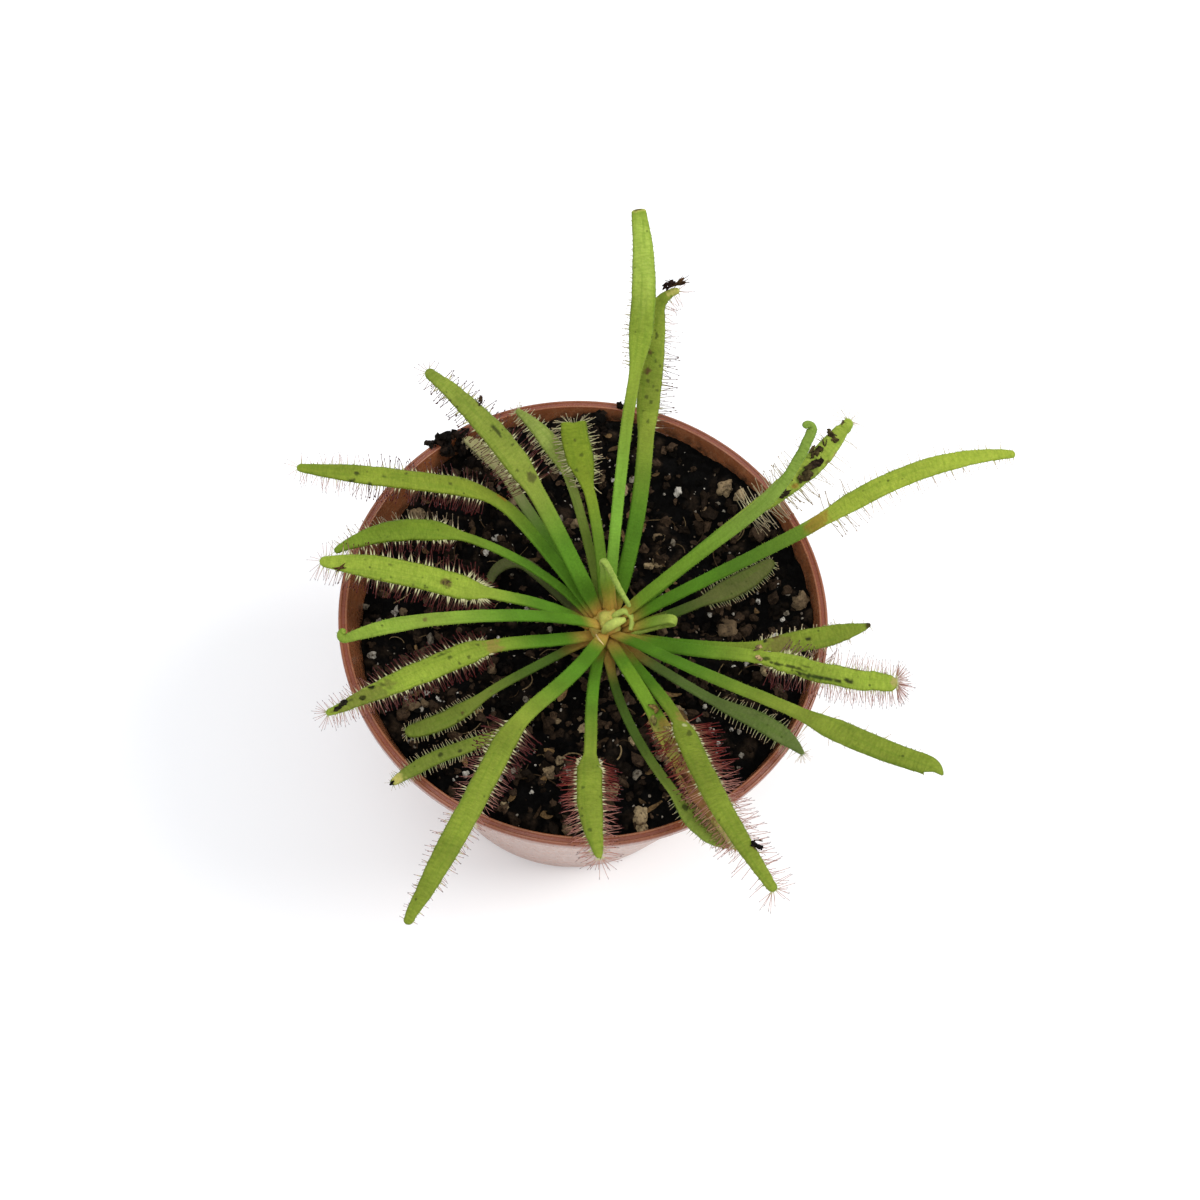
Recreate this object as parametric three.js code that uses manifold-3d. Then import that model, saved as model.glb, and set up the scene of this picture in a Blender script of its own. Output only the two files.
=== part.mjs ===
// A Cape sundew growing in a round plastic nursery pot.
// Lengths are in millimetres and angles in degrees, +Z is up and +Y is the back of the plant.
// The origin is the centre of the pot's underside.
import * as THREE from "three";
import { mergeVertices } from "three/addons/utils/BufferGeometryUtils.js";
import Module from "manifold-3d";

const wasm = await Module();
wasm.setup();

const { degToRad, lerp, smoothstep } = THREE.MathUtils;

// Clear space kept between neighbouring pieces.
const GAP = 0.3;

// Pot
const POT_HEIGHT = 70;
const RIM_RADIUS = 45;
const WALL_TOP_RADIUS = 44.2;
const BASE_RADIUS = 31;
const WALL = 0.9;
const FLOOR = 1.2;
const LIP_DEPTH = 2.2;
const LIP_ROUND = 0.5;
const FOOT_CHAMFER = 0.8;
const POT_SEGMENTS = 56;
const DRAIN_HOLES = 6;
const DRAIN_RADIUS = 2.5;
const DRAIN_RING_RADIUS = 20;

// Soil: nearly level on the left, banked up against the pot at the back and right
const SOIL_LEVEL = 61.5;
const BANK_RISE = 5.5;
const BANK_START_RADIUS = 28;
const BANK_END_RADIUS = 43;
const BANK_HEADING = 40;
const BANK_EDGE_LOW = 0.15;
const BANK_EDGE_HIGH = 0.6;
const LUMP_HEIGHT = 0.45;
const LUMP_PITCH = 5.6;
const LUMP_SHIFT = 1.3;
const RIPPLE_SHARE = 0.6;
const RIPPLE_PITCH = 2.3;
const CROSS_RIPPLE_PITCH = 3.1;
const SOIL_RINGS = 9;
const SOIL_SEGMENTS = 36;
const STONE_SHAPE_SEED = 5;
const STONE_PLACE_SEED = 11;
const GRAVEL_COUNT = 18;
const GRAVEL_RADII = [0.8, 1.1];
const GRAVEL_REACH = 39;
const GRAVEL_LIFT = 0.15;
const STONE_FLATNESS = [0.7, 1];
const STONE_STRETCH = [0.8, 1.2];
// Larger stones that lie on the surface: [x, y, radius]
const STONES = [
  [38, 8, 1.6],
  [27, 3, 1.7],
  [24, 31, 1.5],
  [13, 15, 1.0],
  [11, 14, 0.9],
  [15, 1, 0.9],
  [10, -31, 1.5],
  [14, -35, 1.9],
  [0, -38, 1.6],
  [-3, -30, 1.7],
  [17, -22, 1.3],
  [-25, -17, 1.1],
  [-36, -3, 1.0],
  [-35, 18, 1.2],
];

// Crown: a short stem on a rootstock that stands in a plain hole in the soil
const CROWN = new THREE.Vector2(4.5, -1);
const ROOT_RADIUS = 2;
const ROOT_BOTTOM = 50;
const HOLE_DEPTH_OPEN = 40;
const CROWN_CLEARING = 9;
const CROWN_SEGMENTS = 14;
// How far inside the leaf bases the stem's surface lies, and how far its tip rises over them
const CROWN_INSET = 0.85;
const CROWN_TIP_RISE = 1;

// Buds: tiny leaves still coiled up at the heart, as [heading, size], and the shape of one of size 1
const BUDS = [
  [-15, 1],
  [-80, 0.6],
];
const BUD_RADIUS = 0.6;
const BUD_PITCHES = [75, 60, -150];
const BUD_LENGTHS = [1.6, 3];
const BUD_WIDTHS = [1.4, 1.1];
const BUD_TAPER = [0.5, 0.5];

// Leaves
const BASE_WIDTH = 1.7;
const BASE_THICKNESS = 0.8;
const BASE_LENGTH = 7;
const PETIOLE_THICKNESS = 1.2;
const BLADE_THICKNESS = 0.9;
const JOINT_START = 1;
const JOINT_LENGTH = 6;
const KNEE_REACH = 10;
const PETIOLE_STEPS = 5;
const BLADE_STEPS = 7;
const PATH_STEP = 0.5;
const SECTION_CORNERS = 6;
const LEAST_SECTION_STEP = 0.3;
const BEND_SHARES = [0.25, 0.5, 0.75, 1];
const TAPER_POWER = 1.7;

// Tentacles: stalks with a gland at the end, along both margins, under the blade and at its tip
const TENTACLE_LENGTH = 4;
const TENTACLE_ROOT_RADIUS = 0.19;
const GLAND_RADIUS = 0.33;
const GLAND_PLACE = 0.82;
const ROOT_SUNK = 0.5;
const ROOT_PLACE = 0.37;
const TENTACLE_LEAN = 18;
const TENTACLE_LENGTHS = [0.85, 1.1];
const TENTACLE_SPAN = [0.1, 0.94];
const SHALLOW_DROOP = 14;
const STEEP_DROOP = 40;
const UNDERSIDE_DROOP = 85;
const UNDERSIDE_SHIFT = 0.05;
const TIP_SPREADS = [-0.7, 0, 0.7];
const TIP_DROOP = 0.35;
const TIP_ROOT_SPREAD = 0.3;
// Places along a tentacle where its clear space is tested, and how far round a leaf's middle line
const CLEAR_SHARES = [0.35, 0.6, 0.85, 1];
const NEAR_LEAF = 4;
const TENTACLE_SEED = 100;

// Rings of leaf bases round the crown, from the youngest at the top to the oldest at the soil.
const HEART = { radius: 2.1, height: 67 };
const YOUNG = { radius: 2.6, height: 66.1 };
const FULL = { radius: 3, height: 65.1 };
const MATURE = { radius: 3.4, height: 64 };
const OLD = { radius: 4, height: 62.8 };

// Each leaf: the ring it starts from, its heading from +X, its turns over the petiole, at the knee
// and over the blade, its pitches at base, knee and tip, lengths and widths of petiole and blade,
// the share of the blade where it starts to narrow and how much of its width the tip keeps.
const LEAVES = [
  {
    name: "leaf_back_tall", ring: YOUNG, heading: 95, turns: [-5, -6, 22],
    pitches: [58, 36, 12], lengths: [41, 34], widths: [2.6, 4.4], taper: [0.5, 0.6],
    tentacles: 6,
  },
  {
    name: "leaf_back_hooked", ring: FULL, heading: 74, turns: [22, -4, -2],
    pitches: [54, 34, 8], lengths: [34.5, 28.5], widths: [2.6, 3.6], taper: [0.45, 0.4],
    tentacles: 6, curl: { length: 7, turn: -95, pitch: 20 },
  },
  {
    name: "leaf_right_back_rolled", ring: HEART, heading: 25, turns: [8, 20, 26],
    pitches: [57, 36, 14], lengths: [38, 16.5], widths: [2.6, 1.8], taper: [0.5, 1],
    tentacles: 0, curl: { length: 3.5, turn: 235, pitch: 25 },
  },
  {
    name: "leaf_right_back", ring: MATURE, heading: 39, turns: [0, -5, 30],
    pitches: [40, 26, 5], lengths: [34, 23], widths: [2.6, 4.2], taper: [0.5, 0.4],
    tentacles: 6,
  },
  {
    name: "leaf_right_long", ring: YOUNG, heading: 8, turns: [14, 12, -20],
    pitches: [55, 36, -11], lengths: [46, 34.5], widths: [2.5, 3.5], taper: [0.5, 0.4],
    tentacles: 6,
  },
  {
    name: "leaf_right_low", ring: OLD, heading: 14, turns: [20, -8, 25],
    pitches: [22, 8, -6], lengths: [15, 16.5], widths: [2, 4.2], taper: [0.5, 0.4],
    tentacles: 4,
  },
  {
    name: "leaf_new_right", ring: FULL, at: -10, heading: -7, turns: [0, 0, 0],
    pitches: [55, 45, -110], lengths: [12, 9], widths: [2.4, 1.5], taper: [0.5, 0.5],
    tentacles: 0, fold: 2.5,
  },
  {
    name: "leaf_new_upright", ring: HEART, at: 75, heading: -48, turns: [0, 15, 0],
    pitches: [108, 108, -55], lengths: [14, 12], widths: [3, 1.5], taper: [0.5, 0.5],
    tentacles: 0, fold: 2.5,
  },
  {
    name: "leaf_right_bent", ring: MATURE, heading: -24, turns: [19, 10, 18],
    pitches: [40, 24, 5], lengths: [27, 21.5], widths: [2.1, 3.4], taper: [0.6, 0.3],
    tentacles: 5,
  },
  {
    name: "leaf_right_broad", ring: FULL, at: -44, heading: -34, turns: [28, -24, 34],
    pitches: [46, 28, 4], lengths: [34, 22.5], widths: [2.8, 4], taper: [0.7, 0.6],
    tentacles: 6,
  },
  {
    name: "leaf_right_front_long", ring: YOUNG, heading: -56, turns: [25, -7, 23],
    pitches: [56, 34, 10], lengths: [53, 26.5], widths: [2.2, 3.5], taper: [0.9, 0.8],
    tentacles: 3, curl: { length: 4.5, turn: -35, pitch: -105 },
  },
  {
    name: "leaf_right_front_low", ring: OLD, heading: -41, turns: [12, 17, -32],
    pitches: [30, 14, -4], lengths: [29, 13], widths: [1.9, 3.5], taper: [0.5, 0.2],
    tentacles: 5,
  },
  {
    name: "leaf_front_right", ring: MATURE, heading: -57, turns: [-4, -14, 24],
    pitches: [35, 37, 5], lengths: [29.5, 37], widths: [2.2, 3.8], taper: [0.4, 0.4],
    tentacles: 6,
  },
  {
    name: "leaf_front_right_dying", ring: FULL, at: -77, heading: -73, turns: [21, -12, 19],
    pitches: [51, 10, -7], lengths: [22, 29], widths: [2.5, 3.8], taper: [0.5, 0.4],
    tentacles: 5,
  },
  {
    name: "leaf_front_right_low", ring: OLD, heading: -81, turns: [37, -16, 47],
    pitches: [25, 10, -4], lengths: [39, 9.5], widths: [1.7, 3.2], taper: [0.5, 0.4],
    tentacles: 4,
  },
  {
    name: "leaf_front", ring: MATURE, heading: -97, turns: [15, -10, 24],
    pitches: [44, 26, 2], lengths: [36, 19], widths: [2.1, 3.6], taper: [0.6, 0.3],
    tentacles: 6,
  },
  {
    name: "leaf_front_left_long", ring: YOUNG, heading: -101, turns: [-28, 26, -7],
    pitches: [47, 24, 0], lengths: [36, 39.5], widths: [2.8, 3.8], taper: [0.6, 0.35],
    tentacles: 6,
  },
  {
    name: "leaf_front_left_low", ring: OLD, heading: -115, turns: [-12, -33, 26],
    pitches: [26, 14, -4], lengths: [30.5, 19.5], widths: [1.7, 2.5], taper: [0.7, 0.45],
    tentacles: 4,
  },
  {
    name: "leaf_left_front_low", ring: OLD, at: -144, heading: -135, turns: [-5, 17, -41],
    pitches: [20, 8, -6], lengths: [25, 15], widths: [1.8, 3.6], taper: [0.7, 0.45],
    tentacles: 4,
  },
  {
    name: "leaf_left_front", ring: MATURE, heading: -142, turns: [-18, 23, -8],
    pitches: [40, 24, 2], lengths: [24, 31.5], widths: [2.6, 4.3], taper: [0.4, 0.25],
    tentacles: 6,
  },
  {
    name: "leaf_left_rolled", ring: HEART, heading: -147, turns: [-3, 0, 5],
    pitches: [56, 30, 8], lengths: [44.5, 16], widths: [2.4, 2.8], taper: [0.3, 0.5],
    tentacles: 0, curl: { length: 3.5, turn: -70, pitch: 25 },
  },
  {
    name: "leaf_left", ring: MATURE, at: -178, heading: 177, turns: [22, -21, 8],
    pitches: [43, 26, 3], lengths: [23, 30], widths: [2.3, 4.9], taper: [0.6, 0.35],
    tentacles: 6,
  },
  {
    name: "leaf_left_arched", ring: MATURE, at: 151, heading: 152, turns: [28, 0, 44],
    pitches: [36, 20, 0], lengths: [30, 23.5], widths: [1.8, 4.4], taper: [0.45, 0.25],
    tentacles: 6,
  },
  {
    name: "leaf_left_low", ring: OLD, at: 157, heading: 152, turns: [-10, 19, 110],
    pitches: [24, 10, -20], lengths: [15, 10], widths: [2.6, 2.4], taper: [0.5, 0.5],
    tentacles: 0,
  },
  {
    name: "leaf_left_back_long", ring: FULL, heading: 146, turns: [0, 47, -10],
    pitches: [44, 22, 2], lengths: [30.5, 34.5], widths: [2.5, 3.9], taper: [0.6, 0.35],
    tentacles: 6,
  },
  {
    name: "leaf_back_left_long", ring: YOUNG, heading: 140, turns: [-9, 8, 13],
    pitches: [54, 34, 10], lengths: [27.5, 28.5], widths: [3.2, 4.8], taper: [0.3, 0.4],
    tentacles: 6,
  },
  {
    name: "leaf_back_left_low", ring: OLD, at: 129, heading: 134, turns: [-2, -8, 34],
    pitches: [24, 8, -6], lengths: [31, 12], widths: [2.2, 3.4], taper: [0.5, 0.4],
    tentacles: 3,
  },
  {
    name: "leaf_back_left_short", ring: MATURE, heading: 112, turns: [5, 10, 22],
    pitches: [38, 22, 0], lengths: [27, 15.5], widths: [1.8, 3.9], taper: [0.25, 0.25],
    tentacles: 5,
  },
  {
    name: "leaf_back_short", ring: FULL, at: 108, heading: 102, turns: [11, 6, -16],
    pitches: [46, 26, 2], lengths: [23.5, 13.5], widths: [2.1, 4.7], taper: [0.6, 0.7],
    tentacles: 5,
  },
];

const MATERIALS = {
  pot: new THREE.MeshStandardMaterial({ color: 0x8f5136, roughness: 0.42 }),
  soil: new THREE.MeshStandardMaterial({ color: 0x241d18, roughness: 1 }),
  crown: new THREE.MeshStandardMaterial({ color: 0xa0702a, roughness: 0.6 }),
  leaf: new THREE.MeshStandardMaterial({ color: 0x86a43a, roughness: 0.45 }),
  dyingLeaf: new THREE.MeshStandardMaterial({ color: 0x94843c, roughness: 0.6 }),
};

// A repeatable source of numbers from 0 to 1.
function seededRandom(seed) {
  let state = seed;
  return () => {
    state = (state * 1664525 + 1013904223) % 4294967296;
    return state / 4294967296;
  };
}

function solidOf(geometry) {
  const bare = geometry.clone().deleteAttribute("normal").deleteAttribute("uv");
  const merged = mergeVertices(bare, 1e-4);
  const mesh = new wasm.Mesh({
    numProp: 3,
    vertProperties: merged.getAttribute("position").array,
    triVerts: new Uint32Array(merged.index.array),
  });
  return new wasm.Manifold(mesh);
}

function meshOf(name, solid, material) {
  const data = solid.getMesh();
  const geometry = new THREE.BufferGeometry();
  geometry.setAttribute("position", new THREE.BufferAttribute(data.vertProperties, 3));
  geometry.setIndex(new THREE.BufferAttribute(data.triVerts, 1));
  geometry.computeVertexNormals();
  const mesh = new THREE.Mesh(geometry, material);
  mesh.name = name;
  return mesh;
}

// Closes a stack of rings of points into one surface: flat at the start, and at the end flat
// or drawn to an apex.
function loft(rings, apex) {
  const count = rings[0].length;
  const points = rings.flat();
  const last = points.length - count;
  const faces = [];
  for (let low = 0; low < last; low += count) {
    for (let i = 0; i < count; i++) {
      const next = (i + 1) % count;
      faces.push(low + i, low + next, low + count + next);
      faces.push(low + i, low + count + next, low + count + i);
    }
  }
  for (let i = 1; i < count - 1; i++) {
    faces.push(0, i + 1, i);
    if (!apex) faces.push(last, last + i, last + i + 1);
  }
  if (apex) {
    points.push(apex);
    for (let i = 0; i < count; i++) faces.push(last + i, last + ((i + 1) % count), last + count);
  }
  const geometry = new THREE.BufferGeometry().setFromPoints(points);
  geometry.setIndex(faces);
  return geometry;
}

// Turns a profile of [radius, height] points about the Z axis.
function turned(profile, segments) {
  const points = profile.map(([radius, height]) => new THREE.Vector2(radius, height));
  return new THREE.LatheGeometry(points, segments).rotateX(Math.PI / 2);
}

function outerWallRadius(height) {
  return lerp(BASE_RADIUS, WALL_TOP_RADIUS, height / POT_HEIGHT);
}

function innerWallRadius(height) {
  return outerWallRadius(height) - WALL;
}

function pot() {
  const lipBottom = POT_HEIGHT - LIP_DEPTH;
  const lipInner = POT_HEIGHT - LIP_ROUND;
  const profile = [
    [0, 0],
    [BASE_RADIUS - FOOT_CHAMFER, 0],
    [outerWallRadius(FOOT_CHAMFER), FOOT_CHAMFER],
    [outerWallRadius(lipBottom), lipBottom],
    [RIM_RADIUS, lipBottom + LIP_ROUND],
    [RIM_RADIUS, POT_HEIGHT - LIP_ROUND],
    [RIM_RADIUS - LIP_ROUND, POT_HEIGHT],
    [innerWallRadius(lipInner) + LIP_ROUND, POT_HEIGHT],
    [innerWallRadius(lipInner), lipInner],
    [innerWallRadius(FLOOR), FLOOR],
    [0, FLOOR],
  ];
  const shell = solidOf(turned(profile, POT_SEGMENTS));
  const holes = [];
  for (let i = 0; i < DRAIN_HOLES; i++) {
    const angle = (i / DRAIN_HOLES) * 2 * Math.PI;
    const drill = new THREE.CylinderGeometry(DRAIN_RADIUS, DRAIN_RADIUS, 3 * FLOOR, 12);
    drill.rotateX(Math.PI / 2);
    drill.translate(DRAIN_RING_RADIUS * Math.cos(angle), DRAIN_RING_RADIUS * Math.sin(angle), 0);
    holes.push(solidOf(drill));
  }
  return meshOf("pot", shell.subtract(wasm.Manifold.union(holes)), MATERIALS.pot);
}

// Height of the soil's surface at a point.
function soilHeight(x, y) {
  const fromCrown = Math.hypot(x - CROWN.x, y - CROWN.y);
  const facing = 0.5 + 0.5 * Math.cos(Math.atan2(y, x) - degToRad(BANK_HEADING));
  const outward = smoothstep(Math.hypot(x, y), BANK_START_RADIUS, BANK_END_RADIUS);
  const bank = BANK_RISE * outward * smoothstep(facing, BANK_EDGE_LOW, BANK_EDGE_HIGH);
  const lumps = Math.sin(x / LUMP_PITCH + LUMP_SHIFT) * Math.cos(y / LUMP_PITCH);
  const ripples = Math.sin((x - y) / RIPPLE_PITCH) * Math.cos((x + 2 * y) / CROSS_RIPPLE_PITCH);
  const rough = smoothstep(fromCrown, CROWN_CLEARING / 2, CROWN_CLEARING);
  return SOIL_LEVEL + bank + LUMP_HEIGHT * rough * (lumps + RIPPLE_SHARE * ripples);
}

// Radius of the soil body's edge at a heading, where its surface meets the pot's wall.
function soilEdgeRadius(angle) {
  const guess = innerWallRadius(SOIL_LEVEL);
  const height = soilHeight(guess * Math.cos(angle), guess * Math.sin(angle));
  return innerWallRadius(height) - GAP;
}

function soilBody() {
  const rings = [];
  for (let level = 0; level < SOIL_RINGS; level++) {
    const share = 1 - level / SOIL_RINGS;
    const ring = [];
    for (let i = 0; i < SOIL_SEGMENTS; i++) {
      const angle = (i / SOIL_SEGMENTS) * 2 * Math.PI;
      const radius = soilEdgeRadius(angle) * share;
      const x = radius * Math.cos(angle);
      const y = radius * Math.sin(angle);
      ring.push(new THREE.Vector3(x, y, soilHeight(x, y)));
    }
    rings.push(ring);
  }
  const floorRadius = innerWallRadius(FLOOR) - GAP;
  const floorRing = rings[0].map((point) => {
    const flat = new THREE.Vector2(point.x, point.y).setLength(floorRadius);
    return new THREE.Vector3(flat.x, flat.y, FLOOR);
  });
  return solidOf(loft([floorRing, ...rings], new THREE.Vector3(0, 0, soilHeight(0, 0))));
}

// A rough stone part sunk in the soil's surface.
function stone(x, y, radius, random) {
  const geometry = new THREE.IcosahedronGeometry(radius, 0);
  const long = lerp(...STONE_STRETCH, random());
  const wide = lerp(...STONE_STRETCH, random());
  geometry.scale(long, wide, lerp(...STONE_FLATNESS, random()));
  geometry.rotateX(random() * Math.PI).rotateZ(random() * Math.PI);
  geometry.translate(x, y, soilHeight(x, y) + radius * GRAVEL_LIFT);
  return solidOf(geometry);
}

// Places of all stones: the larger ones, and small gravel scattered at random over the rest.
function stonePlaces() {
  const random = seededRandom(STONE_PLACE_SEED);
  const places = STONES.map(([x, y, radius]) => ({ x, y, radius }));
  while (places.length < STONES.length + GRAVEL_COUNT) {
    const angle = random() * 2 * Math.PI;
    const distance = GRAVEL_REACH * Math.sqrt(random());
    const x = distance * Math.cos(angle);
    const y = distance * Math.sin(angle);
    const radius = lerp(...GRAVEL_RADII, random());
    if (Math.hypot(x - CROWN.x, y - CROWN.y) > 2 * CROWN_CLEARING) places.push({ x, y, radius });
  }
  return places;
}

function soil(places) {
  const random = seededRandom(STONE_SHAPE_SEED);
  const stones = places.map(({ x, y, radius }) => stone(x, y, radius, random));
  const radius = ROOT_RADIUS + GAP;
  const hole = new THREE.CylinderGeometry(radius, radius, HOLE_DEPTH_OPEN, CROWN_SEGMENTS);
  const middle = ROOT_BOTTOM - GAP + HOLE_DEPTH_OPEN / 2;
  hole.rotateX(Math.PI / 2).translate(CROWN.x, CROWN.y, middle);
  const body = wasm.Manifold.union([soilBody(), ...stones]).subtract(solidOf(hole));
  return meshOf("soil", body, MATERIALS.soil);
}

// Heading and pitch of a leaf at a distance along it.
function directionAt(leaf, distance) {
  const [petioleLength, bladeLength] = leaf.lengths;
  const [petioleTurn, kneeTurn, bladeTurn] = leaf.turns;
  const [basePitch, kneePitch, tipPitch] = leaf.pitches;
  const total = petioleLength + bladeLength;
  const pastKnee = Math.max(0, distance - petioleLength);
  const toKnee = Math.min(1, distance / petioleLength);
  const kneeStart = petioleLength - KNEE_REACH;
  const knee = smoothstep(distance, kneeStart, petioleLength + KNEE_REACH);
  let heading = leaf.heading + petioleTurn * toKnee + kneeTurn * knee;
  heading += (bladeTurn * pastKnee) / bladeLength;
  let pitch = lerp(basePitch, kneePitch, toKnee);
  pitch += (tipPitch - kneePitch) * Math.min(1, pastKnee / (leaf.fold ?? bladeLength));
  if (leaf.curl) {
    const curled = Math.max(0, (distance - total + leaf.curl.length) / leaf.curl.length);
    heading += leaf.curl.turn * curled;
    pitch += leaf.curl.pitch * curled;
  }
  return { heading: degToRad(heading), pitch: degToRad(pitch) };
}

// Unit directions of a leaf at a distance: along it, across it to the left, and up from its face.
function frameAt(leaf, distance) {
  const { heading, pitch } = directionAt(leaf, distance);
  const along = new THREE.Vector3(Math.cos(heading), Math.sin(heading), 0);
  along.multiplyScalar(Math.cos(pitch)).setZ(Math.sin(pitch));
  const across = new THREE.Vector3(-Math.sin(heading), Math.cos(heading), 0);
  const up = new THREE.Vector3().crossVectors(along, across);
  return { along, across, up };
}

// Middle line of a leaf, from its base on the crown to its tip, in even short steps.
function pathOf(leaf) {
  const total = leaf.lengths[0] + leaf.lengths[1];
  const steps = Math.round(total / PATH_STEP);
  const start = degToRad(leaf.at ?? leaf.heading);
  const point = new THREE.Vector3(Math.cos(start), Math.sin(start), 0);
  point.multiplyScalar(leaf.ring.radius);
  point.add(new THREE.Vector3(CROWN.x, CROWN.y, leaf.ring.height));
  const path = [point.clone()];
  for (let i = 0; i < steps; i++) {
    const { along } = frameAt(leaf, ((i + 0.5) * total) / steps);
    point.addScaledVector(along, total / steps);
    path.push(point.clone());
  }
  return path;
}

function pointAt(leaf, path, distance) {
  const total = leaf.lengths[0] + leaf.lengths[1];
  const place = (distance / total) * (path.length - 1);
  const step = Math.min(path.length - 2, Math.floor(place));
  return path[step].clone().lerp(path[step + 1], place - step);
}

function widthAt(leaf, distance) {
  const [petioleLength, bladeLength] = leaf.lengths;
  const [petioleWidth, bladeWidth] = leaf.widths;
  const share = (distance - petioleLength) / bladeLength;
  const petiole = lerp(BASE_WIDTH, petioleWidth, smoothstep(distance, 0, BASE_LENGTH));
  const opened = smoothstep(distance, petioleLength - JOINT_START, petioleLength + JOINT_LENGTH);
  const [taperStart, tipShare] = leaf.taper;
  const tapered = Math.max(0, (share - taperStart) / (1 - taperStart)) ** TAPER_POWER;
  return lerp(petiole, bladeWidth * lerp(1, tipShare, tapered), opened);
}

function thicknessAt(leaf, distance) {
  const base = lerp(BASE_THICKNESS, PETIOLE_THICKNESS, smoothstep(distance, 0, BASE_LENGTH));
  const [petioleLength] = leaf.lengths;
  const opened = smoothstep(distance, petioleLength - JOINT_START, petioleLength + JOINT_LENGTH);
  return lerp(base, BLADE_THICKNESS, opened);
}

// One flattened six-sided section of a leaf.
function sectionAt(leaf, path, distance) {
  const { across, up } = frameAt(leaf, distance);
  const centre = pointAt(leaf, path, distance);
  const halfWidth = widthAt(leaf, distance) / 2;
  const cornerAngle = (2 * Math.PI) / SECTION_CORNERS;
  const rise = thicknessAt(leaf, distance) / 2 / Math.sin(cornerAngle);
  const section = [];
  for (let corner = 0; corner < SECTION_CORNERS; corner++) {
    const angle = corner * cornerAngle;
    const point = centre.clone().addScaledVector(across, halfWidth * Math.cos(angle));
    section.push(point.addScaledVector(up, rise * Math.sin(angle)));
  }
  return section;
}

// Distances along a leaf where it has a section, closer together in a fold or a curl.
function sectionDistances(leaf) {
  const [petioleLength, bladeLength] = leaf.lengths;
  const total = petioleLength + bladeLength;
  const distances = [];
  for (let i = 0; i < PETIOLE_STEPS; i++) distances.push((petioleLength * i) / PETIOLE_STEPS);
  for (let i = 0; i <= BLADE_STEPS; i++) {
    distances.push(petioleLength + (bladeLength * i) / BLADE_STEPS);
  }
  for (const share of BEND_SHARES) {
    if (leaf.fold) distances.push(petioleLength + leaf.fold * share);
    if (leaf.curl) distances.push(total - leaf.curl.length * share);
  }
  distances.sort((a, b) => a - b);
  return distances.filter((distance, i) => {
    return i === 0 || distance - distances[i - 1] > LEAST_SECTION_STEP;
  });
}

function leafBody(leaf, path) {
  return solidOf(loft(sectionDistances(leaf).map((distance) => sectionAt(leaf, path, distance))));
}

// A three-sided stalk that swells to a gland near its end.
function tentacle(root, direction, length) {
  const across = new THREE.Vector3(0, 0, 1).cross(direction);
  if (across.length() < 0.1) across.set(1, 0, 0);
  across.normalize();
  const up = new THREE.Vector3().crossVectors(direction, across);
  const ringAt = (share, radius) =>
    [0, 1, 2].map((corner) => {
      const angle = (corner * 2 * Math.PI) / 3;
      const point = root.clone().addScaledVector(direction, length * share);
      point.addScaledVector(across, radius * Math.cos(angle));
      return point.addScaledVector(up, radius * Math.sin(angle));
    });
  const rings = [ringAt(0, TENTACLE_ROOT_RADIUS), ringAt(GLAND_PLACE, GLAND_RADIUS)];
  return solidOf(loft(rings, root.clone().addScaledVector(direction, length)));
}

// Where a tentacle stands at a share of a blade's length: out to one side, turned down by its droop
// and leant towards the blade's tip. Its root lies inside the blade.
function sideTentacle(leaf, path, share, side, droop) {
  const distance = leaf.lengths[0] + leaf.lengths[1] * share;
  const { along, across, up } = frameAt(leaf, distance);
  const lean = degToRad(TENTACLE_LEAN);
  const direction = across.clone().multiplyScalar(side * Math.cos(droop));
  direction.addScaledVector(up, -Math.sin(droop)).multiplyScalar(Math.cos(lean));
  direction.addScaledVector(along, Math.sin(lean)).normalize();
  const edge = side * widthAt(leaf, distance) * ROOT_PLACE * Math.cos(droop);
  const root = pointAt(leaf, path, distance).addScaledVector(across, edge);
  root.addScaledVector(up, -BLADE_THICKNESS / 4).addScaledVector(direction, -ROOT_SUNK);
  return { root, direction };
}

// Tentacles fan out from the tip of a blade.
function tipTentacle(leaf, path, spread) {
  const { along, across, up } = frameAt(leaf, leaf.lengths[0] + leaf.lengths[1]);
  const direction = along.clone().addScaledVector(across, spread);
  direction.addScaledVector(up, -TIP_DROOP).normalize();
  const root = path[path.length - 1].clone().addScaledVector(along, -ROOT_SUNK);
  root.addScaledVector(across, spread * TIP_ROOT_SPREAD);
  return { root, direction };
}

// All tentacles of a leaf: both margins by turns shallow and steep, the underside and the tip.
function tentaclePlaces(leaf, path, random) {
  if (!leaf.tentacles) return [];
  const shallow = degToRad(SHALLOW_DROOP);
  const steep = degToRad(STEEP_DROOP);
  const places = [];
  for (let i = 0; i < leaf.tentacles; i++) {
    const share = lerp(...TENTACLE_SPAN, (i + 0.5) / leaf.tentacles);
    const odd = i % 2 === 1;
    places.push(sideTentacle(leaf, path, share, 1, odd ? shallow : steep));
    places.push(sideTentacle(leaf, path, share, -1, odd ? steep : shallow));
    if (odd) {
      const under = share - UNDERSIDE_SHIFT;
      places.push(sideTentacle(leaf, path, under, 1, degToRad(UNDERSIDE_DROOP)));
    }
  }
  for (const spread of TIP_SPREADS) places.push(tipTentacle(leaf, path, spread));
  return places.map((place) => {
    return { ...place, length: TENTACLE_LENGTH * lerp(...TENTACLE_LENGTHS, random()) };
  });
}

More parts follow.
